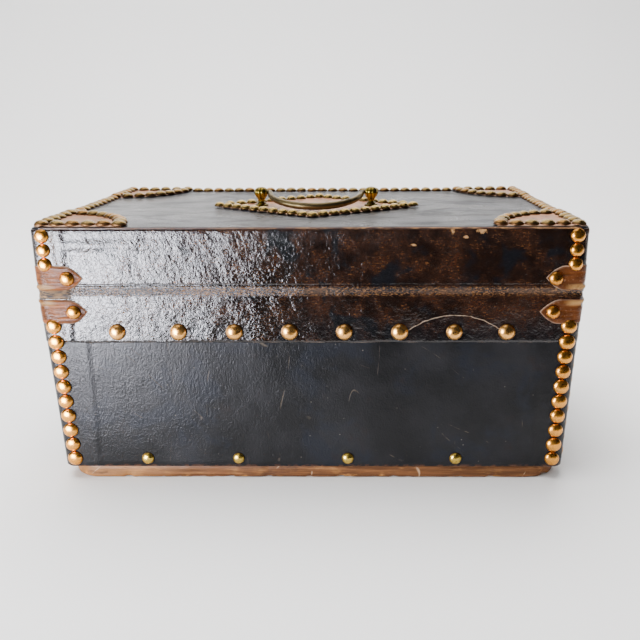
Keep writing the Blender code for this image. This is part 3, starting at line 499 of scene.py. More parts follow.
def tan_leather(name, base, group, folded=False):
    """Tan leather with mottled stains, fine creases and pale raw edges, folded lengthwise on a tab. On tabs,
    painted shade darkens the creases, the fold lines and the tabs on the right, and painted highlights lie on
    the folds.
    """
    finish = Finish(name, specular=0.15 if folded else 0.08)
    noise, step, tint, bump = finish.tools()
    clouds = noise(0.009, 5, 0.6)
    fine = noise(0.0013, 4)
    tint(scaled(base, 1.25), step(clouds, 0.32, 0.68), scaled(base, 0.55))
    # Painted shade: the tabs on the right are darker than those on the left, by a mark set per tab
    if folded:
        tint(finish.shade, finish.mark("painted_light"), scaled(base, 0.32))
    tint(scaled(base, 0.22), step(noise(0.0055, 5, 0.65, 0.6), 0.57, 0.74) * (0.75 * group.wear))
    tint((0.6, 0.34, 0.22), step(fine, 0.58, 0.74) * 0.35)
    # Painted shade in the valleys of a tab's folds and round its nail
    tint(scaled(base, 0.2), finish.mark("crease") * 0.85)
    if folded:
        folds = noise(0.0017, 3, 0.5, 0.3, (0.13, 0.13, 1))
        # Painted shade darkens the fold lines, and painted sheen lightens them on the tabs on the left
        tint(scaled(base, 0.18), step(folds, 0.5, 0.62) * 0.45)
        tint(scaled(base, 2.4), step(folds, 0.44, 0.34) * finish.mark("painted_light") * 0.4)
        # Painted highlight along the fold on the seam side
        tint((0.52, 0.29, 0.1), finish.mark("painted_fold_highlight") * step(clouds + (fine - 0.5) * 0.5, 0.34, 0.5) * 0.75)
        bump(folds, 0.0011, 0.8)
    rim = finish.mark("rim")
    tint(group.cut_edge, rim * step(clouds + (fine - 0.5) * 0.6, 0.25, 0.55, 0.2, 0.75))
    finish.set("Roughness", step(clouds, 0.3, 0.7, 0.26, 0.46) + rim * 0.2)
    bump(noise(0.0042), 0.0006, 0.5)
    bump(finish.cells(0.0009), 0.00012, 0.5)
    bump(fine, 0.00014, 0.5)
    return finish


def welt_leather():
    """The turned edge of the top leather, rubbed golden brown."""
    finish = Finish("welt_finish")
    noise, step, tint, bump = finish.tools()
    threads = noise(0.0012, 4, 0.6, 0, (0.12, 1, 1))
    worn = step(finish.axes()[0], -0.06, 0.04, 0.35, 1.0)
    tint((0.3, 0.15, 0.055), step(threads, 0.42, 0.62) * worn, (0.05, 0.015, 0.008))
    tint((0.03, 0.01, 0.007), step(noise(0.008, 4), 0.5, 0.66) * 0.8)
    finish.set("Roughness", step(threads, 0.3, 0.7, 0.35, 0.55))
    bump(threads, 0.0004, 0.7)
    return finish


def nail_brass(name, group, copper_share, age_and_rim_shade=0.0, base=None):
    """Domed brass: polished on top, dark round its rim with dirt and painted shade, each head a little
    different in colour.
    """
    finish = Finish(name, metallic=1.0)
    noise, step, tint, bump = finish.tools()
    own = finish.node("ShaderNodeNewGeometry", output="Random Per Island")
    copper = [(c + 2 * b) / 3 for c, b in zip(group.copper, base)] if base else group.copper
    gold, copper = (scaled(shade, 1.0 - 0.45 * age_and_rim_shade) for shade in (base or group.gold, copper))
    tint(copper, step(own, 1.0 - copper_share, 1.25 - copper_share), gold)
    grime = noise(0.0028, 4, 0.6)
    tint(scaled(gold, 0.45), step(grime, 0.52, 0.75) * (0.35 + 0.4 * age_and_rim_shade))
    # Dirt and painted shade round the rim; the age setting widens this band, which paints the gaps between
    # close heads dark
    edge = finish.mark("rise") + (grime - 0.5) * 0.28
    rim_dirt_and_shade = step(edge, 0.04 + 0.35 * age_and_rim_shade, 0.26 + 0.45 * age_and_rim_shade, 1.0, 0.0)
    tint(group.tarnish, rim_dirt_and_shade * 0.9)
    finish.set("Roughness", step(grime, 0.35, 0.8, 0.24, 0.38) + rim_dirt_and_shade * 0.2)
    bump(noise(0.0024, 2), 0.0003, 0.35)
    bump(noise(0.0006), 0.00005, 0.5)
    return finish


def old_brass(name, base, roughness, tarnish):
    """Brass with clouds of brown tarnish and fine scratches, darkened where the crease mark says: in a post's
    flutes, and as painted shade over its stem and foot.
    """
    finish = Finish(name, metallic=1.0)
    noise, step, tint, bump = finish.tools()
    clouds = noise(0.006, 5, 0.6)
    fine = noise(0.0009, 4)
    tint(scaled(base, 0.35), step(clouds, 0.45, 0.78) * tarnish, scaled(base, 1.15))
    # The crease mark darkens a post's flutes, and paints shade over its stem and foot
    tint(scaled(base, 0.1), finish.mark("crease"))
    finish.set("Roughness", step(clouds, 0.3, 0.8, roughness, roughness + 0.2) + (fine - 0.5) * 0.1)
    bump(fine, 0.00006, 0.5)
    bump(noise(0.003, 2), 0.0002, 0.3)
    return finish


def base_wood(group):
    """The stained base board: grain along its length, rubbed and chipped to lighter wood, with painted light
    on its left end and painted shade towards its right end.
    """
    finish = Finish("base_board_finish", specular=0.2)
    noise, step, tint, bump = finish.tools()
    base, bare = group.base, group.bare
    x, _, z = finish.axes()
    grain = noise(0.0016, 5, 0.6, 0.4, (0.045, 0.6, 1))
    clouds = noise(0.022, 4)
    tint(scaled(base, 1.35), step(grain, 0.35, 0.66), scaled(base, 0.55))
    tint(bare, step(clouds + (grain - 0.5) * 0.6, 0.5, 0.72) * 0.65)
    # Painted light on the left end and painted shade towards the right end
    tint(scaled(bare, 1.15), step(x, -0.15, -0.06, 0.42, 0.0))
    tint(scaled(base, 0.4), step(x, 0.0, 0.12, 0.0, 0.45))
    rubbed = step(noise(0.004, 5, 0.6, 0, (0.3, 1, 1)), 0.56, 0.7)
    tint(scaled(bare, 1.3), rubbed * step(z, 0.0012, 0.0035, 0.8, 0.2))
    nicks = finish.band(noise(0.02, 1, 0.4, 0.2, (1, 1, 0.35, -0.6)), 0.5, 0.0, 0.01)
    tint((0.75, 0.5, 0.3), nicks * step(noise(0.009), 0.54, 0.62) * 0.8)
    tint((0.035, 0.014, 0.008), step(noise(0.007, 5, 0.6, 0, (0.25, 1, 1)), 0.6, 0.72) * 0.7)
    finish.set("Roughness", step(grain, 0.3, 0.7, 0.36, 0.6))
    bump(grain, 0.00035, 0.6)
    bump(noise(0.0035, 4, 0.6, 0, (0.4, 1, 1)), 0.0008, 0.5)
    return finish


def board_wood(base):
    """Pale softwood of the carcass, with growth rings along the boards."""
    finish = Finish("carcass_board_finish")
    noise, step, tint, bump = finish.tools()
    rings = noise(0.003, 4, 0.55, 0.6, (0.06, 0.5, 1))
    tint(scaled(base, 1.15), step(rings, 0.36, 0.64), scaled(base, 0.62))
    tint(scaled(base, 0.4), step(noise(0.02, 5), 0.55, 0.8) * 0.6)
    finish.set("Roughness", step(rings, 0.3, 0.7, 0.55, 0.75))
    bump(rings, 0.0003, 0.5)
    return finish


def lining_paper(base):
    """Old buff paper with fibres and brown spots."""
    finish = Finish("lining_paper_finish")
    noise, step, tint, bump = finish.tools()
    tint(scaled(base, 1.1), step(noise(0.03, 5), 0.3, 0.7), scaled(base, 0.82))
    spots = step(finish.cells(0.011), 0.04, 0.16, 1.0, 0.0) * step(noise(0.02), 0.45, 0.6)
    tint((0.24, 0.13, 0.06), spots * 0.5)
    fibres = noise(0.0009, 5, 0.6, 0.8, (0.3, 1, 0.5))
    tint(scaled(base, 0.65), step(fibres, 0.55, 0.7) * 0.35)
    finish.set("Roughness", step(fibres, 0.3, 0.7, 0.75, 0.92))
    bump(fibres, 0.00012, 0.6)
    bump(noise(0.012), 0.0008, 0.3)
    return finish


# Mesh helpers


def piece(name, shape, finish, body, marks=None, replaces=(), sharp=None):
    """A smooth mesh that rides on a body of the frame and may stand for some of its nodes."""
    points, faces = shape
    mesh = bpy.data.meshes.new(name)
    mesh.from_pydata([tuple(p) for p in points], [], [tuple(f) for f in faces])
    mesh.materials.append(finish.material)
    for mark, values in (marks or {}).items():
        mesh.attributes.new(mark, "FLOAT", "POINT").data.foreach_set("value", np.array(values, np.float32))
    mesh.shade_smooth()
    if sharp:
        mesh.set_sharp_from_angle(angle=radians(sharp))
    made = bpy.data.objects.new(name, mesh)
    bpy.context.scene.collection.objects.link(made)
    if body:
        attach(made, body)
    if replaces:
        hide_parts(*replaces)
    return made


def lattice(rows, wrap=False, flip=False):
    """Points and quads of a sheet through rows of points, which all have the same count."""
    across = len(rows[0])
    points = [p for row in rows for p in row]
    faces = []
    for i in range(len(rows) - 1):
        for j in range(across if wrap else across - 1):
            k = (j + 1) % across
            quad = (i * across + j, i * across + k, (i + 1) * across + k, (i + 1) * across + j)
            faces.append(quad[::-1] if flip else quad)
    return points, faces


def thickened(made, thickness):
    """Gives a sheet its thickness for good."""
    solid = made.modifiers.new("Thickness", "SOLIDIFY")
    solid.thickness = thickness
    solid.offset = -1.0
    solid.use_even_offset = True
    bpy.context.view_layer.update()
    graph = bpy.context.evaluated_depsgraph_get()
    mesh = bpy.data.meshes.new_from_object(made.evaluated_get(graph))
    made.modifiers.clear()
    made.data = mesh


def spaced(start, end, pitch):
    """Evenly spaced numbers from start to end, no further apart than pitch."""
    parts = max(1, ceil(abs(end - start) / pitch))
    return [start + (end - start) * i / parts for i in range(parts + 1)]


def circle(sides):
    """Evenly spaced angles of a full turn."""
    return [2 * pi * i / sides for i in range(sides)]


def rounded_ring(half_x, half_y, radius, per_corner, per_x, per_y):
    """Points round a rectangle with round corners, counterclockwise, as many whatever its size."""
    arcs = []
    for quarter, (sx, sy) in enumerate(((1, 1), (-1, 1), (-1, -1), (1, -1))):
        middle = Vector((sx * (half_x - radius), sy * (half_y - radius)))
        turns = [radians(90 * quarter + 90 * i / per_corner) for i in range(per_corner + 1)]
        arcs.append([middle + radius * Vector((cos(t), sin(t))) for t in turns])
    ring = []
    for arc, following, along in zip(arcs, arcs[1:] + arcs[:1], (per_x, per_y, per_x, per_y)):
        ring += arc + [arc[-1].lerp(following[0], i / along) for i in range(1, along)]
    return ring


def turned_shape(profile, sides, matrix, wobble):
    """A profile of (radius, height) swept round, its first and last points on the axis."""
    points = [matrix @ Vector((0, 0, profile[0][1]))]
    for ring, (radius, height) in enumerate(profile[1:-1], start=1):
        for turn in circle(sides):
            own = radius + wobble(ring, turn)
            points.append(matrix @ Vector((own * cos(turn), own * sin(turn), height)))
    points.append(matrix @ Vector((0, 0, profile[-1][1])))
    faces = []
    last = 1 + (len(profile) - 3) * sides
    for i in range(sides):
        k = (i + 1) % sides
        faces.append((0, 1 + i, 1 + k))
        faces += [(a + i, a + sides + i, a + sides + k, a + k) for a in range(1, last, sides)]
        faces.append((last + i, len(points) - 1, last + k))
    return points, faces


# Profile of a nail's head, as shares of its radius and of its height
DOME_SHARES = (
    (0.0, 1.0), (0.28, 0.965), (0.52, 0.86), (0.73, 0.69), (0.88, 0.46), (0.97, 0.2), (1.0, 0.03),
    (0.985, -0.1), (0.0, -0.1),
)


def dome(place, out, radius, height, luck, group):
    """One nail head. Its rim is set a little into what it is driven into."""
    uneven = group.unevenness
    radius *= 1 + uneven * luck.uniform(-0.03, 0.03)
    height *= 1 + uneven * luck.uniform(-0.06, 0.06)
    tilt = Vector([uneven * luck.uniform(-0.05, 0.05) for _ in range(3)])
    turn = (Vector(out) + tilt).to_track_quat("Z", "X").to_matrix().to_4x4()
    matrix = Matrix.Translation(place) @ turn @ Matrix.Rotation(luck.uniform(0, 6), 4, "Z")
    profile = [(radius * r, height * h) for r, h in DOME_SHARES]
    stretch = luck.uniform(-0.02, 0.02) * uneven * radius
    phase = luck.uniform(0, 6)
    points, faces = turned_shape(profile, group.sides, matrix, lambda _, t: stretch * cos(2 * t + phase))
    rises = [max(0.0, h) for _, h in DOME_SHARES[1:-1] for _ in range(group.sides)]
    return points, faces, [1.0, *rises, 0.0]


def nail_group(name, nails, finish, body, group, seed, replaces=()):
    """A mesh of separate nail heads, each given as its place, outward direction, radius and height."""
    luck = random.Random(seed)
    points, faces, rises = [], [], []
    for nail in nails:
        head_points, head_faces, head_rises = dome(*nail, luck, group)
        faces += [tuple(i + len(points) for i in face) for face in head_faces]
        points += head_points
        rises += head_rises
    piece(name, (points, faces), finish, body, {"rise": rises}, replaces)


# Places of the nails


def run(start, end, pitch):
    """Evenly spaced plan places from start to end."""
    start, end = Vector(start), Vector(end)
    parts = max(1, ceil((end - start).length / pitch))
    return [start.lerp(end, i / parts) for i in range(parts + 1)]


def edge_rows():
    """Plan places of the nails round the top: on the patches and their arcs, and on bare leather."""
    edge_x, edge_y = HALF - TOP_INSET, HALF_DEPTH - TOP_INSET
    joint = sqrt(ARC_RADIUS**2 - TOP_INSET**2)
    joint_x, joint_y = HALF - joint, HALF_DEPTH - joint
    first = asin(TOP_INSET / ARC_RADIUS)
    sweep = pi / 2 - 2 * first
    parts = ceil(ARC_RADIUS * sweep / NAIL_PITCH)
    on_patch, on_leather = [], []
    for sx, sy in CORNERS.values():
        corner = Vector((sx * edge_x, sy * edge_y))
        on_patch += run(corner, (sx * joint_x, sy * edge_y), NAIL_PITCH)
        on_patch += run(corner, (sx * edge_x, sy * joint_y), NAIL_PITCH)[1:]
        for turn in (first + sweep * i / parts for i in range(1, parts)):
            x, y = HALF - ARC_RADIUS * cos(turn), HALF_DEPTH - ARC_RADIUS * sin(turn)
            on_patch.append(Vector((sx * x, sy * y)))
    for sx in (-1, 1):
        on_leather += run((sx * edge_x, -joint_y), (sx * edge_x, joint_y), NAIL_PITCH)[1:-1]
    on_leather += run((-joint_x, edge_y), (joint_x, edge_y), FRONT_PITCH)[1:-1]
    return on_patch, on_leather


def column(corner, face, top_z, low_z, heads, proud):
    """Places and directions of one upright row, whose leaning face is allowed for."""
    sx, sy = CORNERS[corner]
    places = []
    for i in range(heads):
        z = top_z + (low_z - top_z) * i / (heads - 1)
        half = HALF - inset(z)
        if face in ("back", "front"):
            place = Vector((sx * (half - COLUMN_INSET), MIDDLE + sy * (HALF_DEPTH + proud), z))
            out = Vector((0, sy, 0))
        else:
            place = Vector((sx * (half + proud), MIDDLE + sy * (HALF_DEPTH - END_COLUMN_INSET), z))
            out = Vector((sx, 0, -LEAN / (SEAM - FOOT) if z < SEAM else 0))
        places.append((place, out))
    return places


def hinge_nail_places():
    """Middles of the eight hinge nails, read from the frame."""
    boxes = [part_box(f"hinge_nail_{i}") for i in range(1, 9)]
    return [((low.x + high.x) / 2, (low.z + high.z) / 2) for low, high in boxes]


# Operators


class DOCUMENTBOX_OT_body_leather(bpy.types.Operator):
    """Black leather round the four walls of the body"""

    bl_idname = "document_box.body_leather"
    bl_label = "Body leather"

    def execute(self, context):
        high = BODY_HIGH.z
        levels = [(FOOT, 0.0004), (FOOT + 0.0006, 0.0)]
        levels += [(z, 0.0) for z in reversed(spaced(SEAM - 0.009, FOOT + 0.004, 0.006))]
        levels += [(high - 0.003, 0.0002), (high - 0.0006, 0.0009)]

        def hide(p, z):
            swell = ripple((p.x, p.y, z), 0.045, 0.00022) + ripple((p.x, p.y, z), 0.014, 0.00007)
            x, y = p.x / HALF, p.y / HALF_DEPTH
            x, y = (x, 0) if abs(x) > abs(y) else (0, y)
            return p.x + x * swell, MIDDLE + p.y + y * swell, z

        rows = []
        for z, tuck in levels:
            ring = rounded_ring(HALF - inset(z) - tuck, HALF_DEPTH - tuck, CORNER, *RING_STEPS)
            rows.append([hide(p, z) for p in ring])
        finish = black_leather("body_leather_finish", context.scene.document_box_leather)
        shape = lattice(rows, wrap=True)
        made = piece("body_hide", shape, finish, "body", replaces=("body_leather",))
        thickened(made, BODY_HIDE)
        return {"FINISHED"}


class DOCUMENTBOX_OT_lid_leather(bpy.types.Operator):
    """Black leather over the top and round the walls of the lid"""

    bl_idname = "document_box.lid_leather"
    bl_label = "Lid leather"

    def execute(self, context):
        low = LID_LOW.z
        round_top = 0.0022
        levels = [(low, 0.0003), (low + 0.0005, 0.0), (low + 0.003, 0.0)]
        levels += [(z, 0.0) for z in spaced(low + 0.009, TOP - 0.006, 0.006)]
        turns = [pi / 2 * i / 6 for i in range(7)]
        levels += [(TOP - round_top * (1 - sin(t)), round_top * (1 - cos(t))) for t in turns]
        levels += [(TOP, d) for d in (0.004, 0.007, 0.011, *spaced(0.016, HALF_DEPTH - 0.002, 0.0065))]

        def hide(p, z, tuck):
            wave = ripple((p.x, p.y, z), 0.05, 0.00025) + ripple((p.x, p.y, z), 0.016, 0.00008)
            flat = ease(z, TOP - round_top, TOP)
            at_end = HALF - abs(p.x) < HALF_DEPTH - abs(p.y)
            out_x = copysign(1 - flat, p.x) if at_end else 0
            out_y = 0 if at_end else copysign(1 - flat, p.y)
            up = flat * (wave - 0.0002 * ease(tuck, 0.01, 0.06))
            return p.x + out_x * wave, MIDDLE + p.y + out_y * wave, z + up

        rows = []
        for z, tuck in levels:
            ring = rounded_ring(HALF - tuck, HALF_DEPTH - tuck, max(0.0006, CORNER - tuck), *RING_STEPS)
            rows.append([hide(p, z, tuck) for p in ring])
        points, faces = lattice(rows, wrap=True)
        faces.append(tuple(range(len(points) - len(rows[-1]), len(points))))
        finish = black_leather("lid_leather_finish", context.scene.document_box_leather, top=True)
        made = piece("lid_hide", (points, faces), finish, "lid", replaces=("lid_leather",))
        thickened(made, LID_HIDE)
        return {"FINISHED"}


class DOCUMENTBOX_OT_leather_hinge(bpy.types.Operator):
    """The strip of leather across the back that is the hinge, and the welt along its top"""

    bl_idname = "document_box.leather_hinge"
    bl_label = "Leather hinge"

    def execute(self, context):
        group = context.scene.document_box_leather
        flat = HALF - CORNER
        reach = flat + 0.0058
        low, high = STRIP_LOW, TOP - 0.0011
        bend = 0.0022
        edge = [0.0, 0.0003, 0.0008, 0.0016, 0.0026, 0.0038]
        xs = [-reach + e for e in edge] + spaced(-flat + 0.0005, flat - 0.0005, 0.0026)
        xs += [reach - e for e in reversed(edge)]
        zs = [low + e for e in edge[:5]] + spaced(low + 0.0045, SEAM - 0.004, 0.0024)
        zs += [SEAM + 0.0005 * i for i in range(-6, 11)]
        zs += spaced(SEAM + 0.0062, high - 0.003, 0.0024) + [high - 0.0012, high - 0.0004, high]
        heads = hinge_nail_places()

        def strip(x, z):
            near = min(reach - abs(x), z - low, (high - z) * 2)
            rise = group.strip_thickness * sqrt(ease(near, -0.0004, 0.0014))
            valley = 0.00045 * dent(z - SEAM - 0.0006, 0.0026) + 0.00022 * dent(z - SEAM, 0.0007)
            crease = dent(z - SEAM - 0.0012, 0.0036)
            wrinkle = 0.00014 * sin(z * 5200 + ripple((x, 0, z), 0.012, 2.2)) * crease
            wave = ripple((x, 3, z), 0.035, 0.00022) + ripple((x, 5, z), 0.01, 0.00012)
            dip = sum(0.00035 * dent(hypot(x - nail_x, z - nail_z), 0.0075) for nail_x, nail_z in heads)
            hem = ripple((x, 9, 0), 0.018, 0.0007) * (1 - ease(z, low, low + 0.008))
            over = max(0.0, z - TOP + bend)
            out = rise - valley + (wrinkle + wave) * ease(near, 0, 0.002) - dip
            out -= bend - sqrt(bend**2 - over**2)
            if abs(x) <= flat:
                return x * (HALF - inset(z)) / HALF, BACK - out, z + hem
            round_x, round_y = round_corner(HALF_ARC - (abs(x) - flat), z, out)
            return copysign(round_x, x), MIDDLE - round_y, z + hem

        shape = lattice([[strip(x, z) for x in xs] for z in zs])
        nodes = ("hinge_leather_body", "hinge_leather_lid")
        finish = hinge_leather(group)
        made = piece("leather_hinge_strip", shape, finish, None, replaces=nodes)
        thickened(made, STRIP_SHEET)
        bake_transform(made)
        welt = []
        for x in spaced(-(HALF - 0.0065), HALF - 0.0065, 0.004):
            y = BACK + 0.0002 + ripple((x, 2, 0), 0.02, 0.0001)
            middle = Vector((x, y, TOP - 0.0007 + ripple((x, 7, 0), 0.015, 0.00012)))
            welt.append([middle + WELT_RADIUS * Vector((0, cos(t), sin(t))) for t in circle(8)])
        piece("top_edge_welt", lattice(welt, wrap=True), welt_leather(), "lid")
        return {"FINISHED"}


# Rows of points across half a tab, as shares of its half height
TAB_ROWS = (0.2, 0.42, 0.62, 0.78, 0.9, 0.965, 1.0)
# From the next face to where a tab begins to narrow, and to its nail
TAB_SHOULDER = 0.0158
TAB_NAIL = 0.0206


def tab_shape(signs, low, group, seam_side, backing, longer, nail_reach):
    """A pointed tab wrapped round a corner: its shape and marks. seam_side is 1 if the seam is above."""
    sx, sy = signs
    shoulder, tip, nail_s = (
        reach - CORNER + HALF_ARC for reach in (TAB_SHOULDER + longer, group.tab_reach + longer, nail_reach)
    )
    half_height = group.tab_height / 2
    middle_z = low + half_height
    wing = [tip, tip - 0.0004, tip - 0.001, tip - 0.0018] + spaced(tip - 0.003, shoulder, 0.0013)
    wing += spaced(shoulder - 0.0016, HALF_ARC + 0.001, 0.0016)
    stations = [-s for s in wing] + spaced(-HALF_ARC, HALF_ARC, HALF_ARC / 4) + wing[::-1]
    rows = []
    marks = {"rim": [], "crease": [], "painted_fold_highlight": []}
    for t in [-t for t in reversed(TAB_ROWS)] + [0.0, *TAB_ROWS]:
        row = []
        fold_t = t * seam_side
        for s in stations:
            spread = 1 - (max(0.0, abs(s) - shoulder) / (tip - shoulder)) ** 1.8
            edge_wave = ripple((s, seam_side, sx + sy * 2), 0.006, 0.00035)
            z = middle_z + t * spread * (half_height + edge_wave)
            near = min((1 - abs(t)) * half_height * max(spread, 0.05), (tip - abs(s)) * 0.8)
            lift = sqrt(ease(near, -0.0002, 0.001))
            folds = crease = 0.0
            if fold_t > 0.15 and abs(s) < shoulder + 0.003:
                phase = (fold_t - 0.15) * 12.5 + ripple((s, fold_t, 0), 0.008, 0.9)
                fade = ease(fold_t, 0.15, 0.5) * (1 - ease(abs(s), shoulder - 0.003, shoulder + 0.003))
                folds = 0.00042 * sin(phase) * fade
                crease = max(0.0, -sin(phase)) ** 2 * fade
            from_nail = hypot(abs(s) - nail_s, z - middle_z)
            pull = 1 - 0.45 * (1 - ease(abs(s), HALF_ARC * 0.6, HALF_ARC + 0.004))
            pillow = ease(tip - abs(s), 0.0, 0.006) * ease(abs(s), HALF_ARC, HALF_ARC + 0.007)
            out = lift * (group.tab_thickness * pull + folds + ripple((s, z, sx + 3 * sy), 0.007, 0.00022))
            out += 0.001 * (1 - t * t) * spread * pillow - 0.00045 * dent(from_nail, 0.0052)
            x, y = round_corner(s, z, out + backing * ease(s, -HALF_ARC, HALF_ARC))
            row.append((sx * x, MIDDLE + sy * y, z))
            hidden = 0.35 if fold_t > 0.5 and abs(s) < shoulder else 1.0
            # Painted highlight along the fold on the seam side, fading away from the corner
            painted_fold_highlight = ease(fold_t, 0.5, 0.66) * (1 - ease(fold_t, 0.86, 0.98))
            marks["rim"].append(hidden * (1 - ease(near, 0.0002, 0.0009)))
            marks["painted_fold_highlight"].append(painted_fold_highlight * (1 - ease(abs(s), 0.006, 0.013)))
            # Painted shade: in the valleys of the folds and round the nail
            marks["crease"].append(min(1.0, crease + 0.6 * dent(from_nail, 0.005)))
        rows.append(row)
    return lattice(rows, flip=sx * sy > 0), marks


class DOCUMENTBOX_OT_tabs(bpy.types.Operator):
    """Eight tan tabs folded round the corners, above and below the joint"""

    bl_idname = "document_box.tabs"
    bl_label = "Corner tabs"

    def execute(self, context):
        group = context.scene.document_box_leather
        nails = context.scene.document_box_nails
        finish = tan_leather("tab_finish", group.tan, group, folded=True)
        brass = nail_brass("tab_nail_finish", nails, 0.25, 0.25)
        out = group.tab_thickness + 0.0005
        head = (nails.small_radius + 0.0005, nails.height)
        for prefix, seam_side in (("lid", -1), ("body", 1)):
            heads = []
            for corner, (sx, sy) in CORNERS.items():
                node = f"{prefix}_tab_{corner}"
                low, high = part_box(node)
                backing = group.strip_thickness if sy < 0 else 0.0
                longer, further = TAB_EXTRAS.get(f"{prefix}_{corner}", (0.0, 0.0))
                reach = TAB_NAIL + further
                shape, marks = tab_shape((sx, sy), low.z, group, seam_side, backing, longer, reach)
                # How lit each tab is painted: fully on the left, and in painted shade on the right
                marks["painted_light"] = [0.25 if sx > 0 else 1.0] * len(marks["rim"])
                piece(f"{prefix}_{corner}_tab", shape, finish, prefix, marks, (node,))
                z = (low.z + high.z) / 2
                half = HALF - inset(z)
                across = (sx * (half - reach), MIDDLE + sy * (HALF_DEPTH + backing + out), z)
                on_end = (sx * (half + out), MIDDLE + sy * (HALF_DEPTH - reach), z)
                heads.append((Vector(across), Vector((0, sy, 0)), *head))
                heads.append((Vector(on_end), Vector((sx, 0, 0)), *head))
            nail_group(f"{prefix}_tab_nails", heads, brass, prefix, nails, 11 + seam_side)
        return {"FINISHED"}


class DOCUMENTBOX_OT_top_patches(bpy.types.Operator):
    """Quarter round patches on the corners of the top and the diamond under the handle"""

    bl_idname = "document_box.top_patches"
    bl_label = "Top patches"

    def execute(self, context):
        group = context.scene.document_box_leather
        finish = tan_leather("patch_finish", group.pale_tan, group)

        def lay(name, node, rows, flip):
            """Rows hold each point's plan place, its place for the swelling and how near the edge is."""
            spots = [spot for row in rows for spot in row]
            rims = [1 - ease(near, 0.0002, 0.0012) for *_, near in spots]
            marks = {"rim": rims, "crease": [0.0] * len(spots)}
            raised = []
            for row in rows:
                raised.append([])
                for x, y, place, size, near in row:
                    lift = sqrt(ease(near, -0.0002, 0.001)) * PATCH_THICKNESS * 0.85
                    swell = ripple(place, size, 0.0003) * ease(near, 0.001, 0.012)
                    raised[-1].append((x, y, TOP - 0.0001 + lift + swell))
            piece(name, lattice(raised, flip=flip), finish, "lid", marks, (node,))

        margin = 0.0015
        fillet = CORNER - margin
        far = ARC_RADIUS + 0.0022
        shares = [0.0, 0.012, 0.03, 0.06] + spaced(0.12, 0.88, 0.07) + [0.94, 0.97, 0.988, 1.0]
        for corner, (sx, sy) in CORNERS.items():
            rows = []
            for share in shares:
                row = []
                for turn in (pi / 2 * i / 24 for i in range(25)):
                    c, s = cos(turn), sin(turn)
                    start = fillet * ((c + s) - sqrt(max(0.0, (c + s) ** 2 - 1)))
                    middle = margin * (c + s)
                    end = -middle + sqrt(middle**2 + far**2 - 2 * margin**2)
                    d = start + (end - start) * share
                    x, y = margin + d * c, margin + d * s
                    near = min(d - start, end - d, d * min(c, s) + 0.0002 if share > 0.1 else d - start)
                    place = (sx * x, sy * y, 1)
                    row.append((sx * (HALF - x), MIDDLE + sy * (HALF_DEPTH - y), place, 0.012, near))
                rows.append(row)
            lay(f"{corner}_top_patch", f"corner_patch_{corner}", rows, sx * sy < 0)
        reach = DIAMOND_HIGH.x - 0.001
        rise = (DIAMOND_HIGH.y - DIAMOND_LOW.y) / 2 - 0.001
        shares = [-1.0, -0.99, -0.97, -0.93] + spaced(-0.85, 0.85, 0.1) + [0.93, 0.97, 0.99, 1.0]
        rows = []
        for v in shares:
            row = []
            for u in shares:
                x, y = reach * (u - v) / 2, rise * (u + v) / 2
                row.append((x, HANDLE_Y + y, (x, y, 4), 0.013, (1 - max(abs(u), abs(v))) * 0.043))
            rows.append(row)
        lay("diamond_patch", "lozenge_patch", rows, False)
        return {"FINISHED"}


class DOCUMENTBOX_OT_row_nails(bpy.types.Operator):
    """The rows of dome headed nails round the top, round the diamond and up the corners"""

    bl_idname = "document_box.row_nails"
    bl_label = "Rows of nails"

    def execute(self, context):
        group = context.scene.document_box_nails
        proud_back = context.scene.document_box_leather.strip_thickness - 0.0001
        radius, height = group.radius, group.height
        top_finish = nail_brass("top_nail_finish", group, 0.55, 0.6, group.worn)
        column_finish = nail_brass("column_nail_finish", group, 0.2)
        diamond_finish = nail_brass("diamond_nail_finish", group, 0.05, 0.2, group.diamond)
        heads = []
        on_patch = PATCH_TOP - 0.0002
        for places, z in zip(edge_rows(), (on_patch, TOP)):
            heads += [(Vector((p.x, MIDDLE + p.y, z)), UP, radius - 0.0001, height) for p in places]
        nail_group("top_edge_nails", heads, top_finish, "lid", group, 3, ("lid_edge_nails",))
        tips = [(DIAMOND_REACH, 0), (0, DIAMOND_RISE), (-DIAMOND_REACH, 0), (0, -DIAMOND_RISE)]
        sides = zip(tips, tips[1:] + tips[:1])
        places = [p for start, end in sides for p in run(start, end, DIAMOND_PITCH)[1:]]
        small = (radius - 0.0008, height - 0.0001)
        heads = [(Vector((p.x, HANDLE_Y + p.y, on_patch)), UP, *small) for p in places]
        nail_group("diamond_nails", heads, diamond_finish, "lid", group, 5, ("lozenge_nails",))
        lid_heads, body_heads, nodes = [], [], []
        for corner in CORNERS:
            for face in corner.split("_"):
                nodes.append(f"nails_{corner}_on_{face}")
                proud = proud_back if face == "back" else ON_LEATHER
                for place, out in column(corner, face, *LID_COLUMN, proud):
                    lid_heads.append((place, out, radius - 0.0002, height))
                for place, out in column(corner, face, *BODY_COLUMN, ON_LEATHER):
                    if face == "back" and place.z > STRIP_LOW:
                        place = place + out * 0.0006
                    body_heads.append((place, out, radius + 0.0003, height))
        for body, heads, seed in (("lid", lid_heads, 7), ("body", body_heads, 9)):
            stood_for = [f"{body}_{node}" for node in nodes]
            nail_group(f"{body}_corner_nails", heads, column_finish, body, group, seed, stood_for)
        return {"FINISHED"}


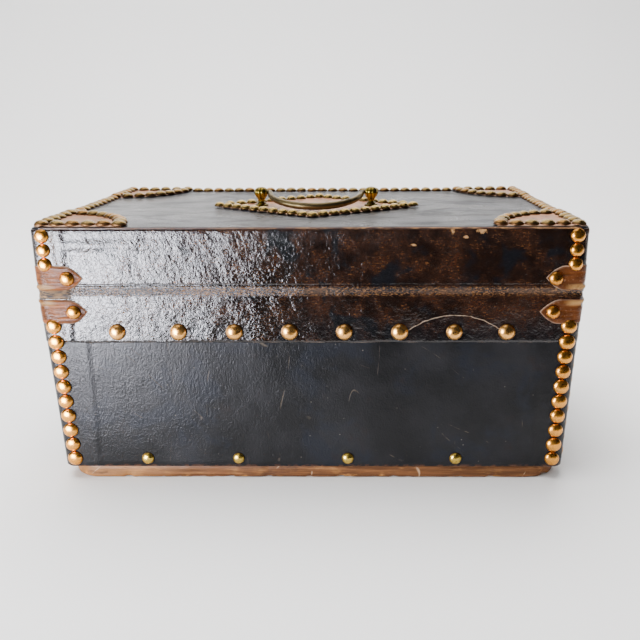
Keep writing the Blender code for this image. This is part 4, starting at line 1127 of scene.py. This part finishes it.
class DOCUMENTBOX_OT_loose_nails(bpy.types.Operator):
    """The eight large nails of the leather hinge and the four small ones along the foot"""

    bl_idname = "document_box.loose_nails"
    bl_label = "Hinge and foot nails"

    def execute(self, context):
        group = context.scene.document_box_nails
        out = Vector((0, -1, 0))
        y = BACK - context.scene.document_box_leather.strip_thickness + 0.0003
        large = (out, group.large_radius, group.large_height)
        heads = [(Vector((x, y, z)), *large) for x, z in hinge_nail_places()]
        finish = nail_brass("hinge_nail_finish", group, 0.2, 0.1, group.pale_gold)
        nodes = [f"hinge_nail_{i}" for i in range(1, 9)]
        nail_group("leather_hinge_nails", heads, finish, "body", group, 21, nodes)
        small = (out, group.small_radius, group.height)
        heads = [(Vector((x, BACK + 0.0001, TOP - FOOT_NAIL_DEPTH)), *small) for x in FOOT_NAILS]
        finish = nail_brass("foot_nail_finish", group, -0.3, 0.3, group.yellow)
        nail_group("foot_nails", heads, finish, "body", group, 23)
        return {"FINISHED"}


class DOCUMENTBOX_OT_base_board(bpy.types.Operator):
    """The worn board under the box, with round corners and nicked edges"""

    bl_idname = "document_box.base_board"
    bl_label = "Base board"

    def execute(self, context):
        group = context.scene.document_box_wood
        half_x = BASE_HIGH.x
        half_y = (BASE_HIGH.y - BASE_LOW.y) / 2
        high = BASE_HIGH.z
        walls = (0.0008, 0.002, 0.0035, 0.005, high - 0.001)
        levels = [(0.0, 0.001), (0.0002, 0.0004), *((z, 0.0) for z in walls), (high, 0.0004)]

        def worn(p, z):
            low_edge = 1 - ease(z, 0.0005, 0.003)
            nick = max(0.0, smooth_noise(Vector((p.x / 0.007, p.y / 0.007, 2.0))) - 0.18) * 3.0
            depth = group.nick_depth * min(1.0, nick) * (0.25 + 0.75 * low_edge)
            depth += ripple((p.x, p.y, z * 3), 0.006, 0.00015)
            out = Vector((p.x / half_x, p.y / half_y)).normalized()
            up = 0.4 * depth * low_edge * ease(0.003 - z, 0, 0.003)
            return p.x - out.x * depth, MIDDLE + p.y - out.y * depth, z + up

        rows = []
        for z, tuck in levels:
            ring = rounded_ring(half_x - tuck, half_y - tuck, BASE_CORNER - tuck, 14, 160, 100)
            rows.append([worn(p, z) for p in ring])
        around = len(rows[0])
        shape = lattice([[(0, MIDDLE, 0)] * around, *rows, [(0, MIDDLE, high)] * around], wrap=True)
        finish = base_wood(group)
        piece("nicked_base_board", shape, finish, "body", replaces=("base_board",), sharp=40)
        return {"FINISHED"}


# Outline of a post in millimetres, as radius and height from its knob's middle, and how many rings are fluted
FLUTED_RINGS = 13
POST_OUTLINE = (
    (0.0, 3.7), (1.2, 3.62), (2.4, 3.3), (3.5, 2.7), (4.3, 1.9), (4.8, 1.0), (4.95, 0.1), (4.85, -0.8),
    (4.5, -1.7), (4.0, -2.7), (3.4, -3.6), (2.8, -4.5), (2.35, -5.3), (2.1, -6.0), (2.2, -6.7), (2.7, -7.2),
    (3.2, -7.6), (3.3, -7.9), (2.9, -8.1), (4.2, -8.4), (4.7, -8.7), (4.8, -9.1), (4.8, -9.7), (0.0, -9.7),
)


class DOCUMENTBOX_OT_handle(bpy.types.Operator):
    """Two turned posts with fluted knobs, and the bail between them"""

    bl_idname = "document_box.handle"
    bl_label = "Handle"

    def execute(self, context):
        group = context.scene.document_box_metal
        finish = old_brass("post_finish", group.post, 0.17, 0.5)
        bail_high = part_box("bail_handle")[1]
        pivot_z = bail_high.z - 0.00125
        knob_middle = pivot_z - PATCH_TOP
        profile = [(r / 1000, knob_middle + z / 1000) for r, z in POST_OUTLINE]
        sides = 80

        def flute(ring, turn):
            if ring > FLUTED_RINGS:
                return 0.0
            strength = sin(pi * ring / (FLUTED_RINGS + 1)) ** 0.6
            return group.flute_depth * strength * (abs(cos(group.knob_flutes * turn / 2)) - 0.75)

        # Crease mark: the flute grooves are darkened, and the stem and foot below the knob get painted shade
        grooves = [(1 - abs(cos(group.knob_flutes * turn / 2))) ** 1.2 for turn in circle(sides)]
        plain_rings = len(profile) - 2 - FLUTED_RINGS
        crease = [0.0, *(grooves * FLUTED_RINGS), *([0.8] * (sides * plain_rings)), 0.0]
        for side in ("left", "right"):
            node = f"handle_post_{side}"
            low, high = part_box(node)
            matrix = Matrix.Translation(((low.x + high.x) / 2, HANDLE_Y, PATCH_TOP))
            shape = turned_shape(profile, sides, matrix, flute)
            piece(f"{side}_fluted_post", shape, finish, "lid", {"crease": crease}, (node,))
        self.bail(old_brass("bail_finish", group.bail, 0.32, 0.8), pivot_z, bail_high.x)
        return {"FINISHED"}

    def bail(self, finish, pivot_z, end):
        """The swinging handle: a thick middle that tapers to its two pins."""
        reach, half, grip = 0.0287, 0.0322, 0.00245
        rest_z = PATCH_TOP + 0.0027
        tilt = asin((pivot_z - rest_z) / reach)
        path = [(end - 0.0002, 0.0, 0.0012), (half + 0.0018, 0.0, 0.00125)]
        path += [(half + 0.001, 0.0002, 0.0015), (half + 0.0003, 0.0009, 0.0017)]
        for turn in (pi / 2 * i / 26 for i in range(1, 26)):
            radius = 0.00175 + 0.0007 * sin(turn) ** 0.8
            path.append((half * cos(turn), 0.0007 + (reach - 0.0007) * sin(turn), radius))
        line = path + [(0.0, reach, grip)] + [(-x, d, r) for x, d, r in reversed(path)]
        spots = [Vector((x, -d, 0)) for x, d, _ in line]
        place = Matrix.Translation((0, HANDLE_Y, pivot_z)) @ Matrix.Rotation(tilt, 4, "X")
        rows = []
        for i, (spot, (_, _, radius)) in enumerate(zip(spots, line)):
            ahead = (spots[min(i + 1, len(spots) - 1)] - spots[max(i - 1, 0)]).normalized()
            side = UP.cross(ahead)
            rows.append([place @ (spot + (side * cos(t) + UP * sin(t)) * radius) for t in circle(20)])
        points, faces = lattice(rows, wrap=True)
        faces += [tuple(range(20))[::-1], tuple(range(len(points) - 20, len(points)))]
        shape, marks = (points, faces), {"crease": [0.0] * len(points)}
        piece("tapered_bail", shape, finish, "bail", marks, ("bail_handle",), sharp=50)


class DOCUMENTBOX_OT_inside(bpy.types.Operator):
    """Bare boards, lining paper and the lock"""

    bl_idname = "document_box.inside"
    bl_label = "Boards, lining and lock"

    def execute(self, context):
        wood = context.scene.document_box_wood
        boards = board_wood(wood.board)
        paper = lining_paper(wood.paper)
        brass = old_brass("lock_finish", context.scene.document_box_metal.lock, 0.24, 0.6)
        board_nodes = ("body_left", "body_right", "body_back", "body_front", "lid_board", "lid_rail")
        for name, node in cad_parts.items():
            if name.startswith(board_nodes):
                self.dress(node, boards)
            if name in ("lock_case", "lock_bolt", "link_plate", "escutcheon"):
                self.dress(node, brass)
        self.lining("body_lining", paper, "body", BASE_HIGH.z + GLUE_GAP, SEAM - PAPER_DROP, 1)
        self.lining("lid_lining", paper, "lid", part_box("lid_board")[0].z - GLUE_GAP, SEAM + PAPER_DROP, -1)
        return {"FINISHED"}

    def dress(self, node, finish):
        """Gives a solid of the frame a finish."""
        node.data.materials.clear()
        node.data.materials.append(finish.material)

    def lining(self, name, paper, body, floor_z, rim_z, up):
        """A sheet of paper over the floor and up the walls inside."""
        walls = BODY_HIDE + GLUE_GAP + BOARD + PAPER_GAP
        levels = [(floor_z, tuck) for tuck in (0.04, 0.02, 0.004, 0.0008)] + [(floor_z + up * 0.0008, 0.0)]
        levels += [(z, 0.0) for z in spaced(floor_z + up * 0.006, rim_z, 0.008)]
        rows = []
        for z, tuck in levels:
            lean = inset(z) if up > 0 else 0.0
            row = []
            for p in rounded_ring(HALF - walls - lean - tuck, HALF_DEPTH - walls - tuck, 0.0008, 2, 40, 24):
                wave = 0.0 if tuck else abs(ripple((p.x, p.y, z), 0.02, 0.00016))
                out = p.normalized()
                row.append((p.x - out.x * wave, MIDDLE + p.y - out.y * wave, z))
            rows.append(row)
        shape = lattice([[(0, MIDDLE, floor_z)] * len(rows[0]), *rows], wrap=True, flip=up > 0)
        piece(name, shape, paper, body, sharp=40)


# How the camera is turned, in degrees, and how far its picture is shifted
CAMERA_TURNS = (0.58, 90 - 16.27, -0.2)
CAMERA_SHIFT = -0.0405


class DOCUMENTBOX_OT_stage(bpy.types.Operator):
    """Pale floor and wall, soft studio light and the camera"""

    bl_idname = "document_box.stage"
    bl_label = "Stage"

    def execute(self, context):
        group = context.scene.document_box_stage
        self.surfaces(group)
        warm, above = (1.0, 0.98, 0.96), (-0.1, 0.45, 0.0)
        self.lamp("window_light", (-0.66, -0.54, 0.27), (-0.1, -0.1, 0.08), (0.42, 0.42),
                  group.window_power, (0.92, 0.96, 1.0))
        top = self.lamp("top_light", (-0.3, 0.55, 2.0), above, (2.6, 1.8), group.fill_power, warm)
        top.visible_glossy = False
        self.lamp("sheen_light", (-0.3, 0.55, 1.99), above, (2.6, 1.8), group.fill_power * 0.2, warm)
        gloss = self.lamp("gloss_light", (-0.325, -0.4, 0.07), (-0.325, 0.0, 0.07), (0.25, 0.22),
                          group.gloss_power, (0.89, 0.9, 1.0))
        gloss.visible_diffuse = gloss.visible_camera = False
        world = bpy.data.worlds.new("room")
        world.use_nodes = True
        back = world.node_tree.nodes["Background"]
        back.inputs["Color"].default_value = (0.88, 0.93, 1.0, 1.0)
        back.inputs["Strength"].default_value = group.surround
        context.scene.world = world
        lens = bpy.data.cameras.new("photograph")
        lens.lens = group.lens
        lens.sensor_width = 36.0
        lens.shift_x = CAMERA_SHIFT
        camera = bpy.data.objects.new("photograph", lens)
        context.scene.collection.objects.link(camera)
        place = Matrix.Translation((group.aside, BACK - group.away, TOP + group.above))
        yaw, pitch, roll = (radians(degrees) for degrees in CAMERA_TURNS)
        turn = Matrix.Rotation(yaw, 4, "Z") @ Matrix.Rotation(pitch, 4, "X") @ Matrix.Rotation(roll, 4, "Z")
        camera.matrix_world = place @ turn
        context.scene.camera = camera
        return {"FINISHED"}

    def surfaces(self, group):
        """A floor that curves up to a wall, and a wall all round whose sheen the leather doesn't show."""
        finish = Finish("floor_finish", specular=0.0, roughness=0.8)
        finish.set("Base Color", group.floor)
        sunk = 0.0001
        xs = (-4.0, -2.0, -1.0, 0.0, 1.0, 2.0, 4.0)
        near = [(y, 0.0) for y in (group.table_edge, 0.0, 0.5, 0.9)]
        near += [(0.9 + 0.5 * sin(t), 0.5 - 0.5 * cos(t)) for t in (pi / 20 * i for i in range(1, 11))]
        near += [(1.4, z) for z in (1.0, 2.0, 3.0)]
        front = [(y, 0.0) for y in (-3.0, -1.5, group.table_edge)]
        ring = ((2.7, 0.0), (3.0, 0.04), (3.2, 0.13), (3.35, 0.3), (3.4, 0.6), (3.4, 2.0), (3.4, 3.2))
        wall = [[(r * cos(t), r * sin(t), z - sunk) for t in circle(72)] for r, z in ring]
        shapes = {
            "floor_and_wall": lattice([[(x, y, z - sunk) for x in xs] for y, z in near]),
            "floor_in_front": lattice([[(x, y, z - sunk) for x in xs] for y, z in front]),
            "wall_all_round": lattice(wall, wrap=True),
        }
        for name, shape in shapes.items():
            made = piece(name, shape, finish, None)
            # The far part of the floor and the wall all round would show in the glossy leather as a haze
            made.visible_glossy = name == "floor_and_wall"

    def lamp(self, name, place, goal, size, power, tint):
        """A soft rectangular light that faces its goal."""
        light = bpy.data.lights.new(name, "AREA")
        light.shape = "RECTANGLE"
        light.size, light.size_y = size
        light.energy = power
        light.color = tint
        made = bpy.data.objects.new(name, light)
        bpy.context.scene.collection.objects.link(made)
        made.location = place
        made.rotation_euler = (Vector(goal) - Vector(place)).to_track_quat("-Z", "Y").to_euler()
        return made


class DOCUMENTBOX_PT_panel(bpy.types.Panel):
    """Lists the steps that build the box, and what can be changed"""

    bl_idname = "DOCUMENTBOX_PT_panel"
    bl_label = "Document box"
    bl_space_type = "VIEW_3D"
    bl_region_type = "UI"
    bl_category = "Document box"

    def draw(self, context):
        for step in STEPS:
            self.layout.operator(step.bl_idname)
        for name, kind in GROUPS.items():
            box = self.layout.box()
            for key in kind.__annotations__:
                box.prop(getattr(context.scene, name), key)


GROUPS = {
    "document_box_nails": DocumentBoxNails,
    "document_box_leather": DocumentBoxLeather,
    "document_box_metal": DocumentBoxMetal,
    "document_box_wood": DocumentBoxWood,
    "document_box_stage": DocumentBoxStage,
}
STEPS = (
    DOCUMENTBOX_OT_body_leather,
    DOCUMENTBOX_OT_lid_leather,
    DOCUMENTBOX_OT_leather_hinge,
    DOCUMENTBOX_OT_tabs,
    DOCUMENTBOX_OT_top_patches,
    DOCUMENTBOX_OT_row_nails,
    DOCUMENTBOX_OT_loose_nails,
    DOCUMENTBOX_OT_base_board,
    DOCUMENTBOX_OT_handle,
    DOCUMENTBOX_OT_inside,
    DOCUMENTBOX_OT_stage,
)


CLASSES = (*GROUPS.values(), *STEPS, DOCUMENTBOX_PT_panel)


def register():
    for kind in CLASSES:
        bpy.utils.register_class(kind)
    for name, group in GROUPS.items():
        setattr(bpy.types.Scene, name, PointerProperty(type=group))


def unregister():
    for name in GROUPS:
        delattr(bpy.types.Scene, name)
    for kind in reversed(CLASSES):
        bpy.utils.unregister_class(kind)


def main():
    register()
    bpy.ops.document_box.body_leather()
    bpy.ops.document_box.lid_leather()
    bpy.ops.document_box.leather_hinge()
    bpy.ops.document_box.tabs()
    bpy.ops.document_box.top_patches()
    bpy.ops.document_box.row_nails()
    bpy.ops.document_box.loose_nails()
    bpy.ops.document_box.base_board()
    bpy.ops.document_box.handle()
    bpy.ops.document_box.inside()
    bpy.ops.document_box.stage()
    bpy.context.view_layer.update()


if __name__ == "__main__":
    main()
